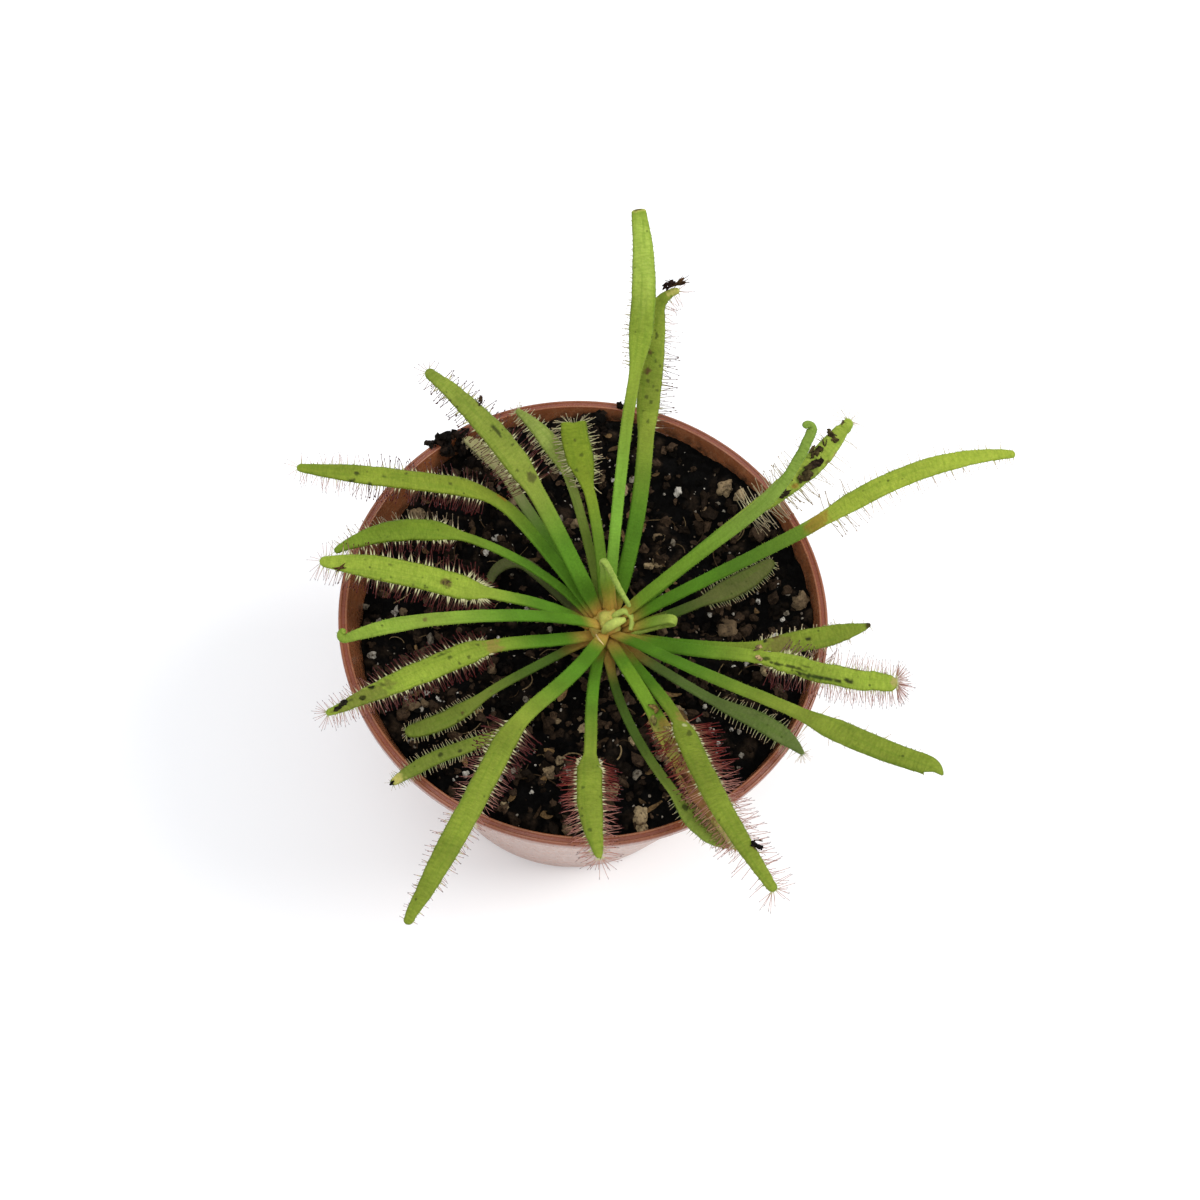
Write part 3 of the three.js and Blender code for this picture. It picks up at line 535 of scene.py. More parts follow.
MARKS = {
    "leaf_back_tall": [
        Mark(0.70, 0.1, 20, 4.4, (0.44, 0.56, 0.11), 0.4, 0.1),
        Mark(0.45, 0.2, 12, 3.6, (0.16, 0.20, 0.024), 0.4, 0.1),
        Mark(1, 0, 1.3, 6, STRAW, 0.6),
        Mark(1, 0.1, 0.9, 1.2, BROWN),
    ],
    "leaf_back_hooked": [
        Mark(0.51, 0.3, 1.0, 0.9, BROWN),
        Mark(0.39, 0.3, 1.5, 1.1, BROWN),
        Mark(0.76, -1.1, 2.4, 0.8, BROWN, 0.7),
        Mark(0.97, 0, 3.5, 2.5, STRAW, 0.7),
        *spots((0.62, -0.2), (0.57, 0.5), (0.46, -0.3), (0.44, 0.8), (0.43, -0.7), (0.33, 0.2)),
        *spots((0.30, -0.3), (0.28, -0.7), (0.23, 0.2), (0.20, -0.2), (0.14, 0.4), (0.08, -0.1)),
    ],
    "leaf_right_back": [
        Mark(0.67, -1, 1.8, 0.6, TAN),
        Mark(0.59, -0.9, 1.2, 0.7, BROWN, 0.7),
        Mark(0.16, -0.4, 0.6, 0.5, BLACK),
        Mark(0.29, -0.6, 1.5, 0.8, RUST, 0.6),
        Mark(0.43, -0.3, 5, 2.4, DARK, 0.6),
    ],
    "leaf_right_long": [
        # Painted shade: the petiole darker green where shade falls on it
        Mark(-0.32, 0, 20, 9, (0.06, 0.14, 0.012), 0.75, 0.1),
        Mark(-0.04, 0, 4.5, 4, RUST, 0.5),
    ],
    "leaf_right_bent": [
        Mark(0.25, 0, 4.5, 4, (0.16, 0.12, 0.04), 0.6),
        Mark(0.22, 0.8, 0.9, 0.7, BROWN),
        Mark(0.13, 0.6, 0.6, 0.6, BLACK),
        Mark(0.48, 0, 1.1, 0.9, BLACK),
        Mark(0.99, 0, 1.8, 3, (0.03, 0.012, 0.006)),
    ],
    "leaf_right_broad": [
        Mark(0.01, 1, 1, 0.7, DARK),
        Mark(0.01, -0.2, 2.2, 0.7, DARK),
        Mark(0.08, -0.5, 2.2, 0.6, DARK),
        Mark(0.22, -0.4, 5, 0.5, DARK, 0.9),
        Mark(0.33, 0, 1.6, 0.4, DARK, 0.7),
        Mark(0.35, -0.75, 5, 0.6, BLACK),
        Mark(0.50, -0.65, 7, 0.5, BLACK),
        Mark(0.65, -0.45, 2.0, 0.8, BLACK),
        Mark(0.68, 0.9, 2.4, 0.7, BROWN, 0.7),
        Mark(0.97, 0, 1.2, 3, TAN, 0.6),
    ],
    "leaf_front_right": [
        Mark(-0.02, 1, 3, 2.4, (0.27, 0.17, 0.05), 0.7),
        Mark(0.12, 0.3, 1.8, 1.1, DARK, 0.7),
        Mark(0.05, 0.3, 1.2, 0.8, CREAM, 0.8),
        Mark(0.80, 0.9, 1.6, 0.6, BROWN, 0.8),
    ],
    "leaf_front_right_dying": [
        Mark(-0.12, 0, 16, 9, (0.125, 0.235, 0.017), 0.95, 0.25),
        Mark(0.15, 0.4, 2.6, 2.0, (0.27, 0.15, 0.035), 0.7),
        Mark(0.24, -0.7, 2.6, 1.4, (0.36, 0.31, 0.06), 0.8),
        Mark(0.30, 0.3, 2.4, 1.4, (0.22, 0.13, 0.035), 0.7),
        Mark(0.38, -0.4, 3, 1.6, (0.33, 0.27, 0.06), 0.7),
        Mark(0.62, 0, 13, 8, (0.20, 0.075, 0.035), 0.9),
        Mark(0.55, -0.5, 2, 1, (0.10, 0.03, 0.015), 0.7),
        Mark(0.68, 0.3, 2.4, 1, (0.11, 0.03, 0.015), 0.7),
        Mark(0.93, 0, 7, 6, (0.34, 0.25, 0.10), 0.9),
    ],
    "leaf_front_right_low": [
        Mark(-0.06, 0, 1.2, 1, DARK),
        Mark(0.42, 0.4, 1, 0.7, BROWN),
        Mark(0.97, 0, 1.4, 3, BROWN, 0.8),
    ],
    "leaf_front": [
        Mark(0.13, 1, 0.7, 0.5, CREAM),
        *spots((0.36, -0.5), (0.55, -0.7), (0.75, -0.4)),
    ],
    "leaf_front_left_low": [
        Mark(0.93, 0, 2.2, 3, STRAW, 0.8),
        Mark(1, 0, 0.7, 2, BLACK),
        Mark(0.51, 0, 1, 0.7, DARK),
        Mark(0.34, 0.4, 0.8, 0.6, DARK),
    ],
    "leaf_left_front_low": [Mark(-0.15, 0, 0.8, 0.6, BROWN), Mark(0.30, 0.4, 0.6, 0.5, BROWN)],
    "leaf_left_front": [
        Mark(-0.02, 0, 3.2, 4, (0.27, 0.17, 0.05), 0.7),
        Mark(0.26, -0.1, 1.2, 0.8, DARK),
        Mark(0.30, -0.6, 3, 0.5, DARK, 0.8),
        Mark(0.79, 0.1, 11, 3.6, (0.11, 0.10, 0.025), 0.6),
        *spots((0.07, -0.4), (0.16, 0.5), (0.23, 0.7), (0.67, -0.2), (0.73, -0.4), (0.79, 0)),
        *spots((0.86, -0.2), (0.91, -0.5), (0.94, 0.2)),
    ],
    "leaf_left_rolled": [Mark(0.02, 0.1, 1, 0.8, BROWN, 0.7)],
    "leaf_left": [
        Mark(0.27, 0.1, 2.4, 1.6, (0.10, 0.065, 0.02)),
        *spots((0.60, -0.3), (0.64, 0.9), (0.45, 0.8)),
    ],
    "leaf_left_back_long": [
        Mark(-0.06, -0.8, 1.8, 0.7, RUST, 0.7),
        Mark(0.72, 0.9, 1.2, 0.8, DARK),
        Mark(0.63, 1, 1.4, 0.7, DARK),
        Mark(0.70, 0.1, 1.0, 0.8, DARK),
        *spots((0.56, 0.1), (0.45, -0.5), (0.22, 0.1), (0.16, -0.8)),
    ],
    "leaf_back_left_long": [
        Mark(0.44, -0.2, 2.6, 0.7, DARK),
        Mark(0.63, -1.0, 1.6, 0.9, BROWN),
        Mark(0.08, -0.3, 2.4, 1.6, (0.06, 0.05, 0.015), 0.8),
        *spots((0.76, 1), (0.30, -0.5), (0.16, 0.4)),
    ],
    "leaf_back_short": spots((0.66, 0.1), (0.45, -0.1), (0.26, 0.6)),
}

# Crumbs, flakes and prey that lie on blades: place as for marks, size, turn in radians, colour
Scrap = namedtuple("Scrap", "share side length width height turn tint")
SCRAP_LUMPS = 7
SCRAP_SPREAD = 0.4
SCRAP_TURN_SWAY = 0.5
SCRAP_LUMP_SHARES = (0.2, 0.4)
SCRAP_ROUGHNESS = 0.8
SCRAPS = {
    "leaf_back_hooked": [
        Scrap(0.95, 1.6, 2.2, 0.9, 0.9, 0.1, (0.02, 0.01, 0.008)),
        Scrap(0.99, 1.8, 2.4, 0.9, 0.8, 0.4, BROWN),
        Scrap(0.99, 2.4, 3.0, 0.25, 0.3, 0.9, BROWN),
        Scrap(0.99, 1.6, 3.4, 0.2, 0.3, 0.2, BROWN),
        Scrap(0.97, 2.2, 2.6, 0.2, 0.4, -0.6, BROWN),
    ],
    "leaf_right_back": [
        Scrap(0.78, 0.4, 1.6, 2.0, 0.5, 0, OLIVE),
        Scrap(0.59, 0.6, 2.2, 1.4, 0.45, 0, OLIVE),
        Scrap(0.66, 0.1, 2.6, 0.25, 0.3, 0.7, OLIVE),
        Scrap(0.52, -0.2, 2.0, 1.5, 0.5, 0.2, (0.03, 0.018, 0.01)),
        Scrap(0.43, -0.3, 2.0, 1.8, 0.6, 0, (0.05, 0.037, 0.015)),
        Scrap(0.36, -0.4, 1.6, 1.3, 0.5, 0, OLIVE),
        Scrap(0.19, -0.4, 1.8, 1.4, 0.5, 0, (0.04, 0.03, 0.014)),
        Scrap(0.28, 0.1, 1.1, 0.5, 0.35, 0, OLIVE),
        Scrap(0.93, 0.6, 1.2, 0.35, 0.3, 0, OLIVE),
    ],
    "leaf_right_broad": [
        Scrap(-0.07, 1.1, 1.6, 0.9, 0.4, 0.5, TAN),
        Scrap(-0.04, -0.5, 1.1, 0.8, 0.4, 0, TAN),
    ],
    "leaf_front_right_dying": [
        Scrap(0.03, 0.2, 1.6, 1.0, 0.5, 0.2, (0.24, 0.16, 0.05)),
        Scrap(0.11, -0.5, 1.8, 1.0, 0.5, 0, (0.30, 0.26, 0.08)),
        Scrap(0.18, 0.5, 1.6, 0.9, 0.4, 0.3, (0.34, 0.28, 0.10)),
        Scrap(0.27, -0.6, 1.8, 0.9, 0.4, 0, (0.22, 0.13, 0.04)),
        Scrap(0.38, 0.4, 2.0, 0.8, 0.4, 0.2, (0.18, 0.07, 0.025)),
        Scrap(0.50, -0.4, 2.0, 0.8, 0.4, 0, (0.12, 0.045, 0.02)),
        Scrap(0.80, 0.4, 1.8, 0.8, 0.4, 0, TAN),
    ],
    "leaf_front_right": [
        Scrap(0.80, 1.1, 1.5, 0.8, 0.6, 0.4, BLACK),
        Scrap(0.78, 1.5, 1.2, 0.2, 0.2, 1.2, BROWN),
    ],
    "leaf_left": [
        Scrap(0.88, 0.8, 2.0, 0.4, 0.4, 0.6, BROWN),
        Scrap(0.26, 0.1, 1.5, 1.0, 0.3, 0.2, OLIVE),
    ],
    "leaf_left_front": [
        Scrap(0.90, -0.3, 1.3, 0.8, 0.35, 0.3, (0.02, 0.018, 0.01)),
        Scrap(0.94, 0.3, 1.1, 0.6, 0.35, 0, (0.02, 0.018, 0.01)),
        Scrap(0.80, 0.2, 0.8, 0.6, 0.3, 0.4, DARK),
        Scrap(0.73, -0.5, 0.9, 0.5, 0.3, 0, DARK),
    ],
    "leaf_back_left_long": [Scrap(0.63, -1.15, 0.5, 2.0, 0.5, 0.3, (0.05, 0.03, 0.016))],
    "leaf_front_left_low": [Scrap(0.99, 0, 0.7, 0.5, 0.4, 0, BLACK)],
}

# Tentacles: rows on the blade as (place across it from -1 to 1, spacing, droops, lengths, and
# the length of the cream root)
TENTACLE_ROWS = [
    (0.97, 1.3, (-10, 18), (2.8, 3.9), 1.0),
    (-0.97, 1.3, (-10, 18), (2.8, 3.9), 1.0),
    (0.88, 0.55, (5, 60), (2.6, 3.8), 0.35),
    (-0.88, 0.55, (5, 60), (2.6, 3.8), 0.35),
    (0.6, 0.7, (35, 88), (2.2, 3.2), 0.3),
    (-0.6, 0.7, (35, 88), (2.2, 3.2), 0.3),
    (0.0, 1.4, (80, 100), (1.2, 2.0), 0.2),
]
ROW_START = 1.4
ROW_LEAN = 6
ROW_LEAN_SPREAD = 8
ROOT_SWAY = (0.7, 1.25)
# Round the tip they fan out from -TIP_FAN to TIP_FAN degrees, and droop by TIP_DROOPS
TIP_FAN = 85
TIP_FAN_SWAY = 7
TIP_DROOPS = (-15, 55)
TIP_LENGTHS = (2.4, 4)
TIP_ROOT = 0.5
# At the knee they sweep back by so many degrees where the blade begins, less further on
KNEE_SWEEPS = (70, 5)
KNEE_SWEEP_SPREAD = 10
KNEE_RISES = (-25, 25)
KNEE_LENGTHS = (1.0, 2.1)
KNEE_ROOT_SHARE = 0.8
GLAND_LENGTH = 0.42
THICK_ROOT = 1.15
THIN_ROOT = 0.75
STALK_RADII = (0.17, 0.125, 0.085, 0.065, 0.05, 0.10, 0.13, 0.08)
STALK_SIDES = 3
STALK_BEND = 0.16
# Stalks are lifted onto the soil, and left out near the rim and inside other leaves
STALK_LIFT = 0.25
MOST_LIFT = 2.5
NO_FLOOR = -10
RIM_MARGINS = (0.3, 0.2, 0.15)
LEAF_MARGIN = 0.2
LEAF_PROBE_STEP = 0.5
GLAND_RINGS = (0.25, 0.6, 0.92, 1)
FIRST_GLAND_RING = 5
# Over the open air past the rim stalks are thinner with smaller glands, and painted paler pink as lit
# through
OPEN_AIR_RADII = (39, 47)
OPEN_AIR_STOUTNESS = 0.6
OPEN_AIR_GLAND = 0.55
# Short hairs along a leaf's edges
HAIR_START = 5
HAIR_SPACING = 0.4
HAIR_LENGTHS = (0.2, 0.4)
HAIR_RADIUS = 0.08
HAIR_BRIGHTNESS = 1.35

# Camera: it looks at AIM from CAMERA_DISTANCE away and rolls a little
AIM = np.array([2.5, 1.55, 70])
CAMERA_DISTANCE = 250
CAMERA_ELEVATION = 64.5
CAMERA_ROLL = math.degrees(0.13)
FOCAL_LENGTH = 40.71
SENSOR_WIDTH = 36

# Stage: half the floor's side, lights as (name, place, size, power, colour), and the sky, all
# in metres, watts and linear colours
FLOOR_REACH = 2.0
LIGHTS = [
    ("window", (0.62, 0.1, 0.72), 0.45, 4.5, (1.0, 0.98, 0.95)),
    ("ceiling", (-0.25, -0.25, 1.0), 0.9, 4, (1.0, 1.0, 1.0)),
]
SKY_COLOUR = (0.95, 0.97, 1.0, 1)
SKY_STRENGTH = 0.8

# Linear colours of the materials, apart from those that the pieces carry as their tint
POT_DARK = (0.22, 0.07, 0.026, 1)
POT_LIGHT = (0.29, 0.10, 0.04, 1)
POT_DUST = (0.36, 0.19, 0.10, 1)
# Darker red of the rim's outer edge and grooves: painted shade
POT_RIM_SHADE = (0.19, 0.045, 0.022, 1)
POT_STAIN = (0.03, 0.017, 0.01, 1)
POT_SPLASH = (0.02, 0.012, 0.008, 1)
MINERAL_PORE = (0.04, 0.025, 0.014, 1)
MINERAL_DIRT = (0.025, 0.016, 0.01, 1)
# Transverse streaks at the scale of the blade's fine ridges: painted shade between the ridges
BLADE_RIDGE_SHADE = (0.62, 0.70, 0.5, 1)
LEAF_VEIN = (0.07, 0.15, 0.008, 1)
BLADE_SPECK = (0.035, 0.05, 0.006, 1)
TENTACLE_SHADE = (0.3, 0.12, 0.1, 1)
FLOOR_DARK = (0.93, 0.94, 0.95, 1)
FLOOR_LIGHT = (0.95, 0.955, 0.96, 1)

Part = namedtuple("Part", "points faces material values")


# ---------------------------------------------------------------- numbers and noise


def smoothstep(value, low, high):
    share = np.clip((value - low) / (high - low), 0, 1)
    return share * share * (3 - 2 * share)


def lerp(low, high, share):
    low = np.asarray(low)
    return low + (np.asarray(high) - low) * share


def seeded(seed):
    return np.random.default_rng(seed)


def unit(vectors):
    return vectors / np.linalg.norm(vectors, axis=-1, keepdims=True)


def lattice_noise(points, size, seed=0):
    """Smooth noise from -1 to 1 at each point, with lumps about size wide."""
    place = np.asarray(points, float) / size + 31.7 * seed
    cell = np.floor(place).astype(np.int64)
    inside = place - cell
    inside = inside * inside * (3 - 2 * inside)
    total = np.zeros(place.shape[:-1])
    for corner in itertools.product((0, 1), repeat=3):
        key = ((cell + corner) * np.array([73856093, 19349663, 83492791])).sum(-1)
        key = (key ^ (key >> 13)) * 1274126177
        value = ((key ^ (key >> 16)) & 0xFFFFFF) / 0x7FFFFF - 1
        total += value * np.prod(np.where(corner, inside, 1 - inside), axis=-1)
    return total


def rough(points, layers, seed=0):
    """Sum of noise layers given as (lump size, height)."""
    return sum(
        height * lattice_noise(points, size, seed + i) for i, (size, height) in enumerate(layers)
    )


# ---------------------------------------------------------------- meshes


def make_piece(name, parts, materials, replaced=(), smooth=True):
    """Joins parts into one mesh piece that rides on the object's one body."""
    points = np.vstack([part.points for part in parts])
    offsets = np.cumsum([0] + [len(part.points) for part in parts])
    corners = []
    counts = []
    slots = []
    for part, offset in zip(parts, offsets):
        for faces in part.faces:
            corners.append((faces + offset).ravel())
            counts.append(np.full(len(faces), faces.shape[1]))
            slots.append(np.full(len(faces), part.material))
    corners = np.concatenate(corners)
    counts = np.concatenate(counts)
    mesh = bpy.data.meshes.new(name)
    mesh.vertices.add(len(points))
    mesh.vertices.foreach_set("co", ((points + ORIGIN) * MM).ravel())
    mesh.loops.add(len(corners))
    mesh.loops.foreach_set("vertex_index", corners)
    mesh.polygons.add(len(counts))
    mesh.polygons.foreach_set("loop_start", np.cumsum(counts) - counts)
    mesh.polygons.foreach_set("material_index", np.concatenate(slots))
    mesh.polygons.foreach_set("use_smooth", np.full(len(counts), smooth))
    for key in parts[0].values:
        values = np.concatenate([part.values[key] for part in parts])
        if values.ndim == 2:
            layer = mesh.color_attributes.new(key, "FLOAT_COLOR", "POINT")
            layer.data.foreach_set("color", np.column_stack([values, np.ones(len(values))]).ravel())
        else:
            layer = mesh.attributes.new(key, "FLOAT", "POINT")
            layer.data.foreach_set("value", values)
    mesh.update(calc_edges=True)
    mesh.validate()
    for material in materials:
        mesh.materials.append(material)
    piece = bpy.data.objects.new(name, mesh)
    bpy.context.scene.collection.objects.link(piece)
    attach(piece, "root")
    if replaced:
        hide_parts(*replaced)
    return piece


def grid_faces(rows, columns, closed=True):
    """Quads of a grid of points, row after row, closed round the columns or not."""
    row = np.arange(rows - 1)[:, None] * columns
    column = np.arange(columns if closed else columns - 1)
    following = (column + 1) % columns
    quads = [row + column, row + following, row + columns + following, row + columns + column]
    return np.stack(quads, axis=-1).reshape(-1, 4)


def fan_faces(first, columns, apex, flip=False):
    column = np.arange(columns)
    following = (column + 1) % columns
    fan = [first + column, first + following, np.full(columns, apex)]
    if flip:
        fan = fan[::-1]
    return np.stack(fan, axis=-1)


def closed_faces(rows, columns):
    """Faces of a grid closed round its columns, and fanned shut to two end points after it."""
    ends = rows * columns
    return [
        grid_faces(rows, columns),
        fan_faces(0, columns, ends, flip=True),
        fan_faces(ends - columns, columns, ends + 1),
    ]


def repeated(faces, size, count):
    """The faces of one shape of size points, repeated for count shapes."""
    offsets = (np.arange(count) * size)[:, None, None]
    return (faces[None] + offsets).reshape(-1, faces.shape[1])


def turned(profile, segments, centre=(0, 0)):
    """Points of a profile of (radius, height) turned about a vertical axis."""
    angles = np.arange(segments) / segments * 2 * math.pi
    radius = profile[:, 0, None]
    x = centre[0] + radius * np.cos(angles)
    y = centre[1] + radius * np.sin(angles)
    z = np.repeat(profile[:, 1, None], segments, axis=1)
    return np.stack([x, y, z], axis=-1).reshape(-1, 3)


# ---------------------------------------------------------------- materials


class Shader:
    """A node material with a Principled shader, built by short calls."""

    def __init__(self, name, **inputs):
        self.material = bpy.data.materials.new(name)
        self.material.use_nodes = True
        self.tree = self.material.node_tree
        self.surface = self.tree.nodes["Principled BSDF"]
        self.fill(self.surface, inputs)

    def fill(self, node, inputs):
        for key, value in inputs.items():
            socket = node.inputs[key]
            if isinstance(value, bpy.types.NodeSocket):
                self.tree.links.new(value, socket)
            else:
                socket.default_value = value

    def add(self, kind, inputs=None, **settings):
        node = self.tree.nodes.new(kind)
        for key, value in settings.items():
            setattr(node, key, value)
        self.fill(node, inputs or {})
        return node

    def attribute(self, name, output="Color"):
        return self.add("ShaderNodeAttribute", attribute_name=name).outputs[output]

    def object_place(self):
        return self.add("ShaderNodeTexCoord").outputs["Object"]

    def noise(self, scale, detail=3, roughness=0.6):
        inputs = {"Vector": self.object_place(), "Scale": scale, "Detail": detail}
        inputs["Roughness"] = roughness
        return self.add("ShaderNodeTexNoise", inputs).outputs["Fac"]

    def leaf_noise(self, along_scale, across_scale):
        """Noise laid out along and across the leaf, with lumps a millimetre over scale long."""
        place = {
            0: self.product(self.attribute("along", "Fac"), along_scale),
            1: self.product(self.attribute("across", "Fac"), across_scale),
            2: self.attribute("number", "Fac"),
        }
        vector = self.add("ShaderNodeCombineXYZ", place).outputs[0]
        inputs = {"Vector": vector, "Scale": 1.0, "Detail": 4, "Roughness": 0.65}
        return self.add("ShaderNodeTexNoise", inputs).outputs["Fac"]

    def grey(self, value):
        return self.add("ShaderNodeCombineColor", {0: value, 1: value, 2: value}).outputs[0]

    def cells(self, scale):
        inputs = {"Vector": self.object_place(), "Scale": scale}
        return self.add("ShaderNodeTexVoronoi", inputs).outputs["Distance"]

    def spread(self, value, low, high, new_low=0.0, new_high=1.0):
        inputs = {"Value": value, "From Min": low, "From Max": high}
        inputs.update({"To Min": new_low, "To Max": new_high})
        return self.add("ShaderNodeMapRange", inputs).outputs["Result"]

    def product(self, first, second):
        inputs = {0: first, 1: second}
        return self.add("ShaderNodeMath", inputs, operation="MULTIPLY").outputs[0]

    def blend(self, share, first, second, kind="MIX"):
        node = self.add("ShaderNodeMix", data_type="RGBA", blend_type=kind)
        self.fill(node, {0: share, 6: first, 7: second})
        return node.outputs[2]

    def bump(self, height, distance, strength=1.0):
        inputs = {"Height": height, "Distance": distance, "Strength": strength}
        return self.add("ShaderNodeBump", inputs).outputs["Normal"]

    def finish(self, **inputs):
        self.fill(self.surface, inputs)
        return self.material


def pot_material():
    shader = Shader("moulded_plastic", IOR=1.5)
    mottle = shader.spread(shader.noise(260, 4), 0.3, 0.7, 0, 1)
    colour = shader.blend(mottle, POT_DARK, POT_LIGHT)
    dust = shader.spread(shader.noise(900, 5, 0.7), 0.5, 0.76, 0, 0.5)
    colour = shader.blend(dust, colour, POT_DUST)
    # Painted shade: darker red on the rim's rounded outer edge and in its grooves
    edge = shader.product(shader.attribute("edge", "Fac"), 0.45)
    colour = shader.blend(edge, colour, POT_RIM_SHADE)
    dirt = shader.attribute("dirt", "Fac")
    stain = shader.product(dirt, shader.spread(shader.noise(420, 5, 0.7), 0.36, 0.6))
    colour = shader.blend(stain, colour, POT_STAIN)
    splash = shader.spread(shader.noise(1700, 4, 0.7), 0.66, 0.72, 0, 0.8)
    colour = shader.blend(splash, colour, POT_SPLASH)
    rough_value = shader.spread(shader.noise(700, 4), 0.3, 0.7, 0.18, 0.34)
    bump = shader.bump(shader.noise(2600, 3), 0.00002)
    gloss = {"Coat Weight": 0.08, "Coat Roughness": 0.15}
    return shader.finish(**{"Base Color": colour, "Roughness": rough_value, "Normal": bump}, **gloss)


def soil_material():
    shader = Shader("potting_mix", **{"Specular IOR Level": 0.06})
    tint = shader.attribute("tint")
    grain = shader.spread(shader.noise(2200, 5, 0.7), 0.3, 0.7, 0.3, 1.7)
    colour = shader.blend(1.0, tint, shader.grey(grain), "MULTIPLY")
    wet = shader.spread(shader.noise(500, 2), 0.45, 0.62, 0.95, 0.6)
    bump = shader.bump(shader.noise(3200, 5, 0.75), 0.00022)
    return shader.finish(**{"Base Color": colour, "Roughness": wet, "Normal": bump})


def mineral_material():
    shader = Shader("gravel_and_perlite", Roughness=0.9, **{"Specular IOR Level": 0.2})
    tint = shader.attribute("tint")
    grain = shader.spread(shader.noise(1500, 5, 0.75), 0.3, 0.7, 0.5, 1.3)
    colour = shader.blend(1.0, tint, shader.grey(grain), "MULTIPLY")
    pores = shader.spread(shader.cells(1100), 0.15, 0.35, 0.8, 0)
    colour = shader.blend(pores, colour, MINERAL_PORE)
    dirt = shader.spread(shader.noise(700, 5, 0.75), 0.52, 0.66, 0, 0.85)
    colour = shader.blend(dirt, colour, MINERAL_DIRT)
    bump = shader.bump(shader.noise(2500, 4, 0.7), 0.00025)
    return shader.finish(**{"Base Color": colour, "Normal": bump})


def tissue_material():
    scatter = {"Subsurface Weight": 0.1, "Subsurface Scale": 0.0008}
    scatter["Subsurface Radius"] = (0.5, 1.0, 0.15)
    scatter["Specular IOR Level"] = 0.07
    shader = Shader("leaf_tissue", **scatter)
    blade = shader.attribute("blade", "Fac")
    # Painted shade: darker transverse streaks on the blade between its fine ridges
    ridge_shade_noise = shader.spread(shader.leaf_noise(2.5, 0.7), 0.36, 0.62, 0.6, 0)
    ridge_shade_mask = shader.product(ridge_shade_noise, blade)
    mottle = shader.spread(shader.noise(2200, 5, 0.8), 0.34, 0.66, 0.88, 1.17)
    colour = shader.blend(1.0, shader.attribute("tint"), shader.grey(mottle), "MULTIPLY")
    colour = shader.blend(ridge_shade_mask, colour, BLADE_RIDGE_SHADE, "MULTIPLY")
    veins = shader.spread(shader.leaf_noise(0.1, 1.6), 0.5, 0.62, 0.0, 0.25)
    colour = shader.blend(veins, colour, LEAF_VEIN)
    specks = shader.spread(shader.cells(700), 0.10, 0.2, 0.7, 0)
    patchy = shader.spread(shader.noise(240, 2), 0.5, 0.6)
    specks = shader.product(shader.product(specks, patchy), blade)
    colour = shader.blend(specks, colour, BLADE_SPECK)
    bump = shader.bump(shader.leaf_noise(2.6, 1.0), 0.00016)
    return shader.finish(**{"Base Color": colour, "Roughness": 0.6, "Normal": bump})


def tentacle_material():
    shader = Shader("tentacle", **{"Specular IOR Level": 0.15})
    mottle = shader.spread(shader.noise(1500, 2), 0.3, 0.7, 0, 0.35)
    colour = shader.blend(mottle, shader.attribute("tint"), TENTACLE_SHADE, "MULTIPLY")
    gland = shader.spread(shader.attribute("share", "Fac"), 0.5, 1, 0.6, 0.2)
    return shader.finish(**{"Base Color": colour, "Roughness": gland})


def floor_material():
    shader = Shader("pale_floor", Roughness=0.9)
    shade = shader.spread(shader.noise(6, 2), 0.3, 0.7, 0.0, 1.0)
    colour = shader.blend(shade, FLOOR_DARK, FLOOR_LIGHT)
    return shader.finish(**{"Base Color": colour})


# ---------------------------------------------------------------- pot


def outer_radius(height):
    return lerp(BASE_RADIUS, WALL_TOP_RADIUS, height / POT_HEIGHT)


def inner_radius(height):
    return outer_radius(height) - WALL


def arc(centre, radius, start, end, steps):
    angles = np.radians(np.linspace(start, end, steps))
    return [(centre[0] + radius * math.cos(a), centre[1] + radius * math.sin(a)) for a in angles]


def rim_top():
    """The rim's upper face from its outer edge inwards, with fine grooves."""
    outer = RIM_RADIUS - LIP_ROUND
    inner = inner_radius(POT_HEIGHT) + INNER_ROUND
    radii = np.linspace(outer, inner, 30)[1:-1]
    grooves = [lerp(outer, inner, place) for place in GROOVE_PLACES]
    depth = sum(GROOVE_DEPTH * np.exp(-(((radii - g) / GROOVE_WIDTH) ** 2)) for g in grooves)
    return list(zip(radii, POT_HEIGHT - depth))


def pot_profile():
    """The pot's section as (radius, height), from the middle of its underside up and back in."""
    lip_bottom = POT_HEIGHT - LIP_DEPTH
    under_lip = outer_radius(lip_bottom)
    corner = RIM_RADIUS - LIP_ROUND
    inner_corner = inner_radius(POT_HEIGHT) + INNER_ROUND
    foot = BASE_RADIUS - FOOT_WIDTH
    profile = [(0.01, FOOT_HEIGHT), (foot - 1, FOOT_HEIGHT), (foot, 0)]
    profile += arc((BASE_RADIUS - FOOT_ROUND, FOOT_ROUND), FOOT_ROUND, -90, 0, 6)
    profile += [(outer_radius(z), z) for z in np.linspace(FOOT_ROUND + 1, lip_bottom - 0.5, 40)]
    profile += [(under_lip, lip_bottom - 0.1), (under_lip + 0.15, lip_bottom)]
    profile += arc((corner + 0.2, lip_bottom + 0.3), 0.3, -90, 0, 5)
    profile += arc((corner, POT_HEIGHT - LIP_ROUND), LIP_ROUND, 0, 90, 8)
    profile += rim_top()
    profile += arc((inner_corner, POT_HEIGHT - INNER_ROUND), INNER_ROUND, 90, 180, 6)
    profile += [(inner_radius(z), z) for z in np.linspace(POT_HEIGHT - 1, FLOOR + 1, 40)]
    floor_corner = inner_radius(FLOOR) - FLOOR_ROUND
    profile += arc((floor_corner, FLOOR + FLOOR_ROUND), FLOOR_ROUND, 0, -90, 5)
    profile += [(0.01, FLOOR)]
    return np.array(profile)


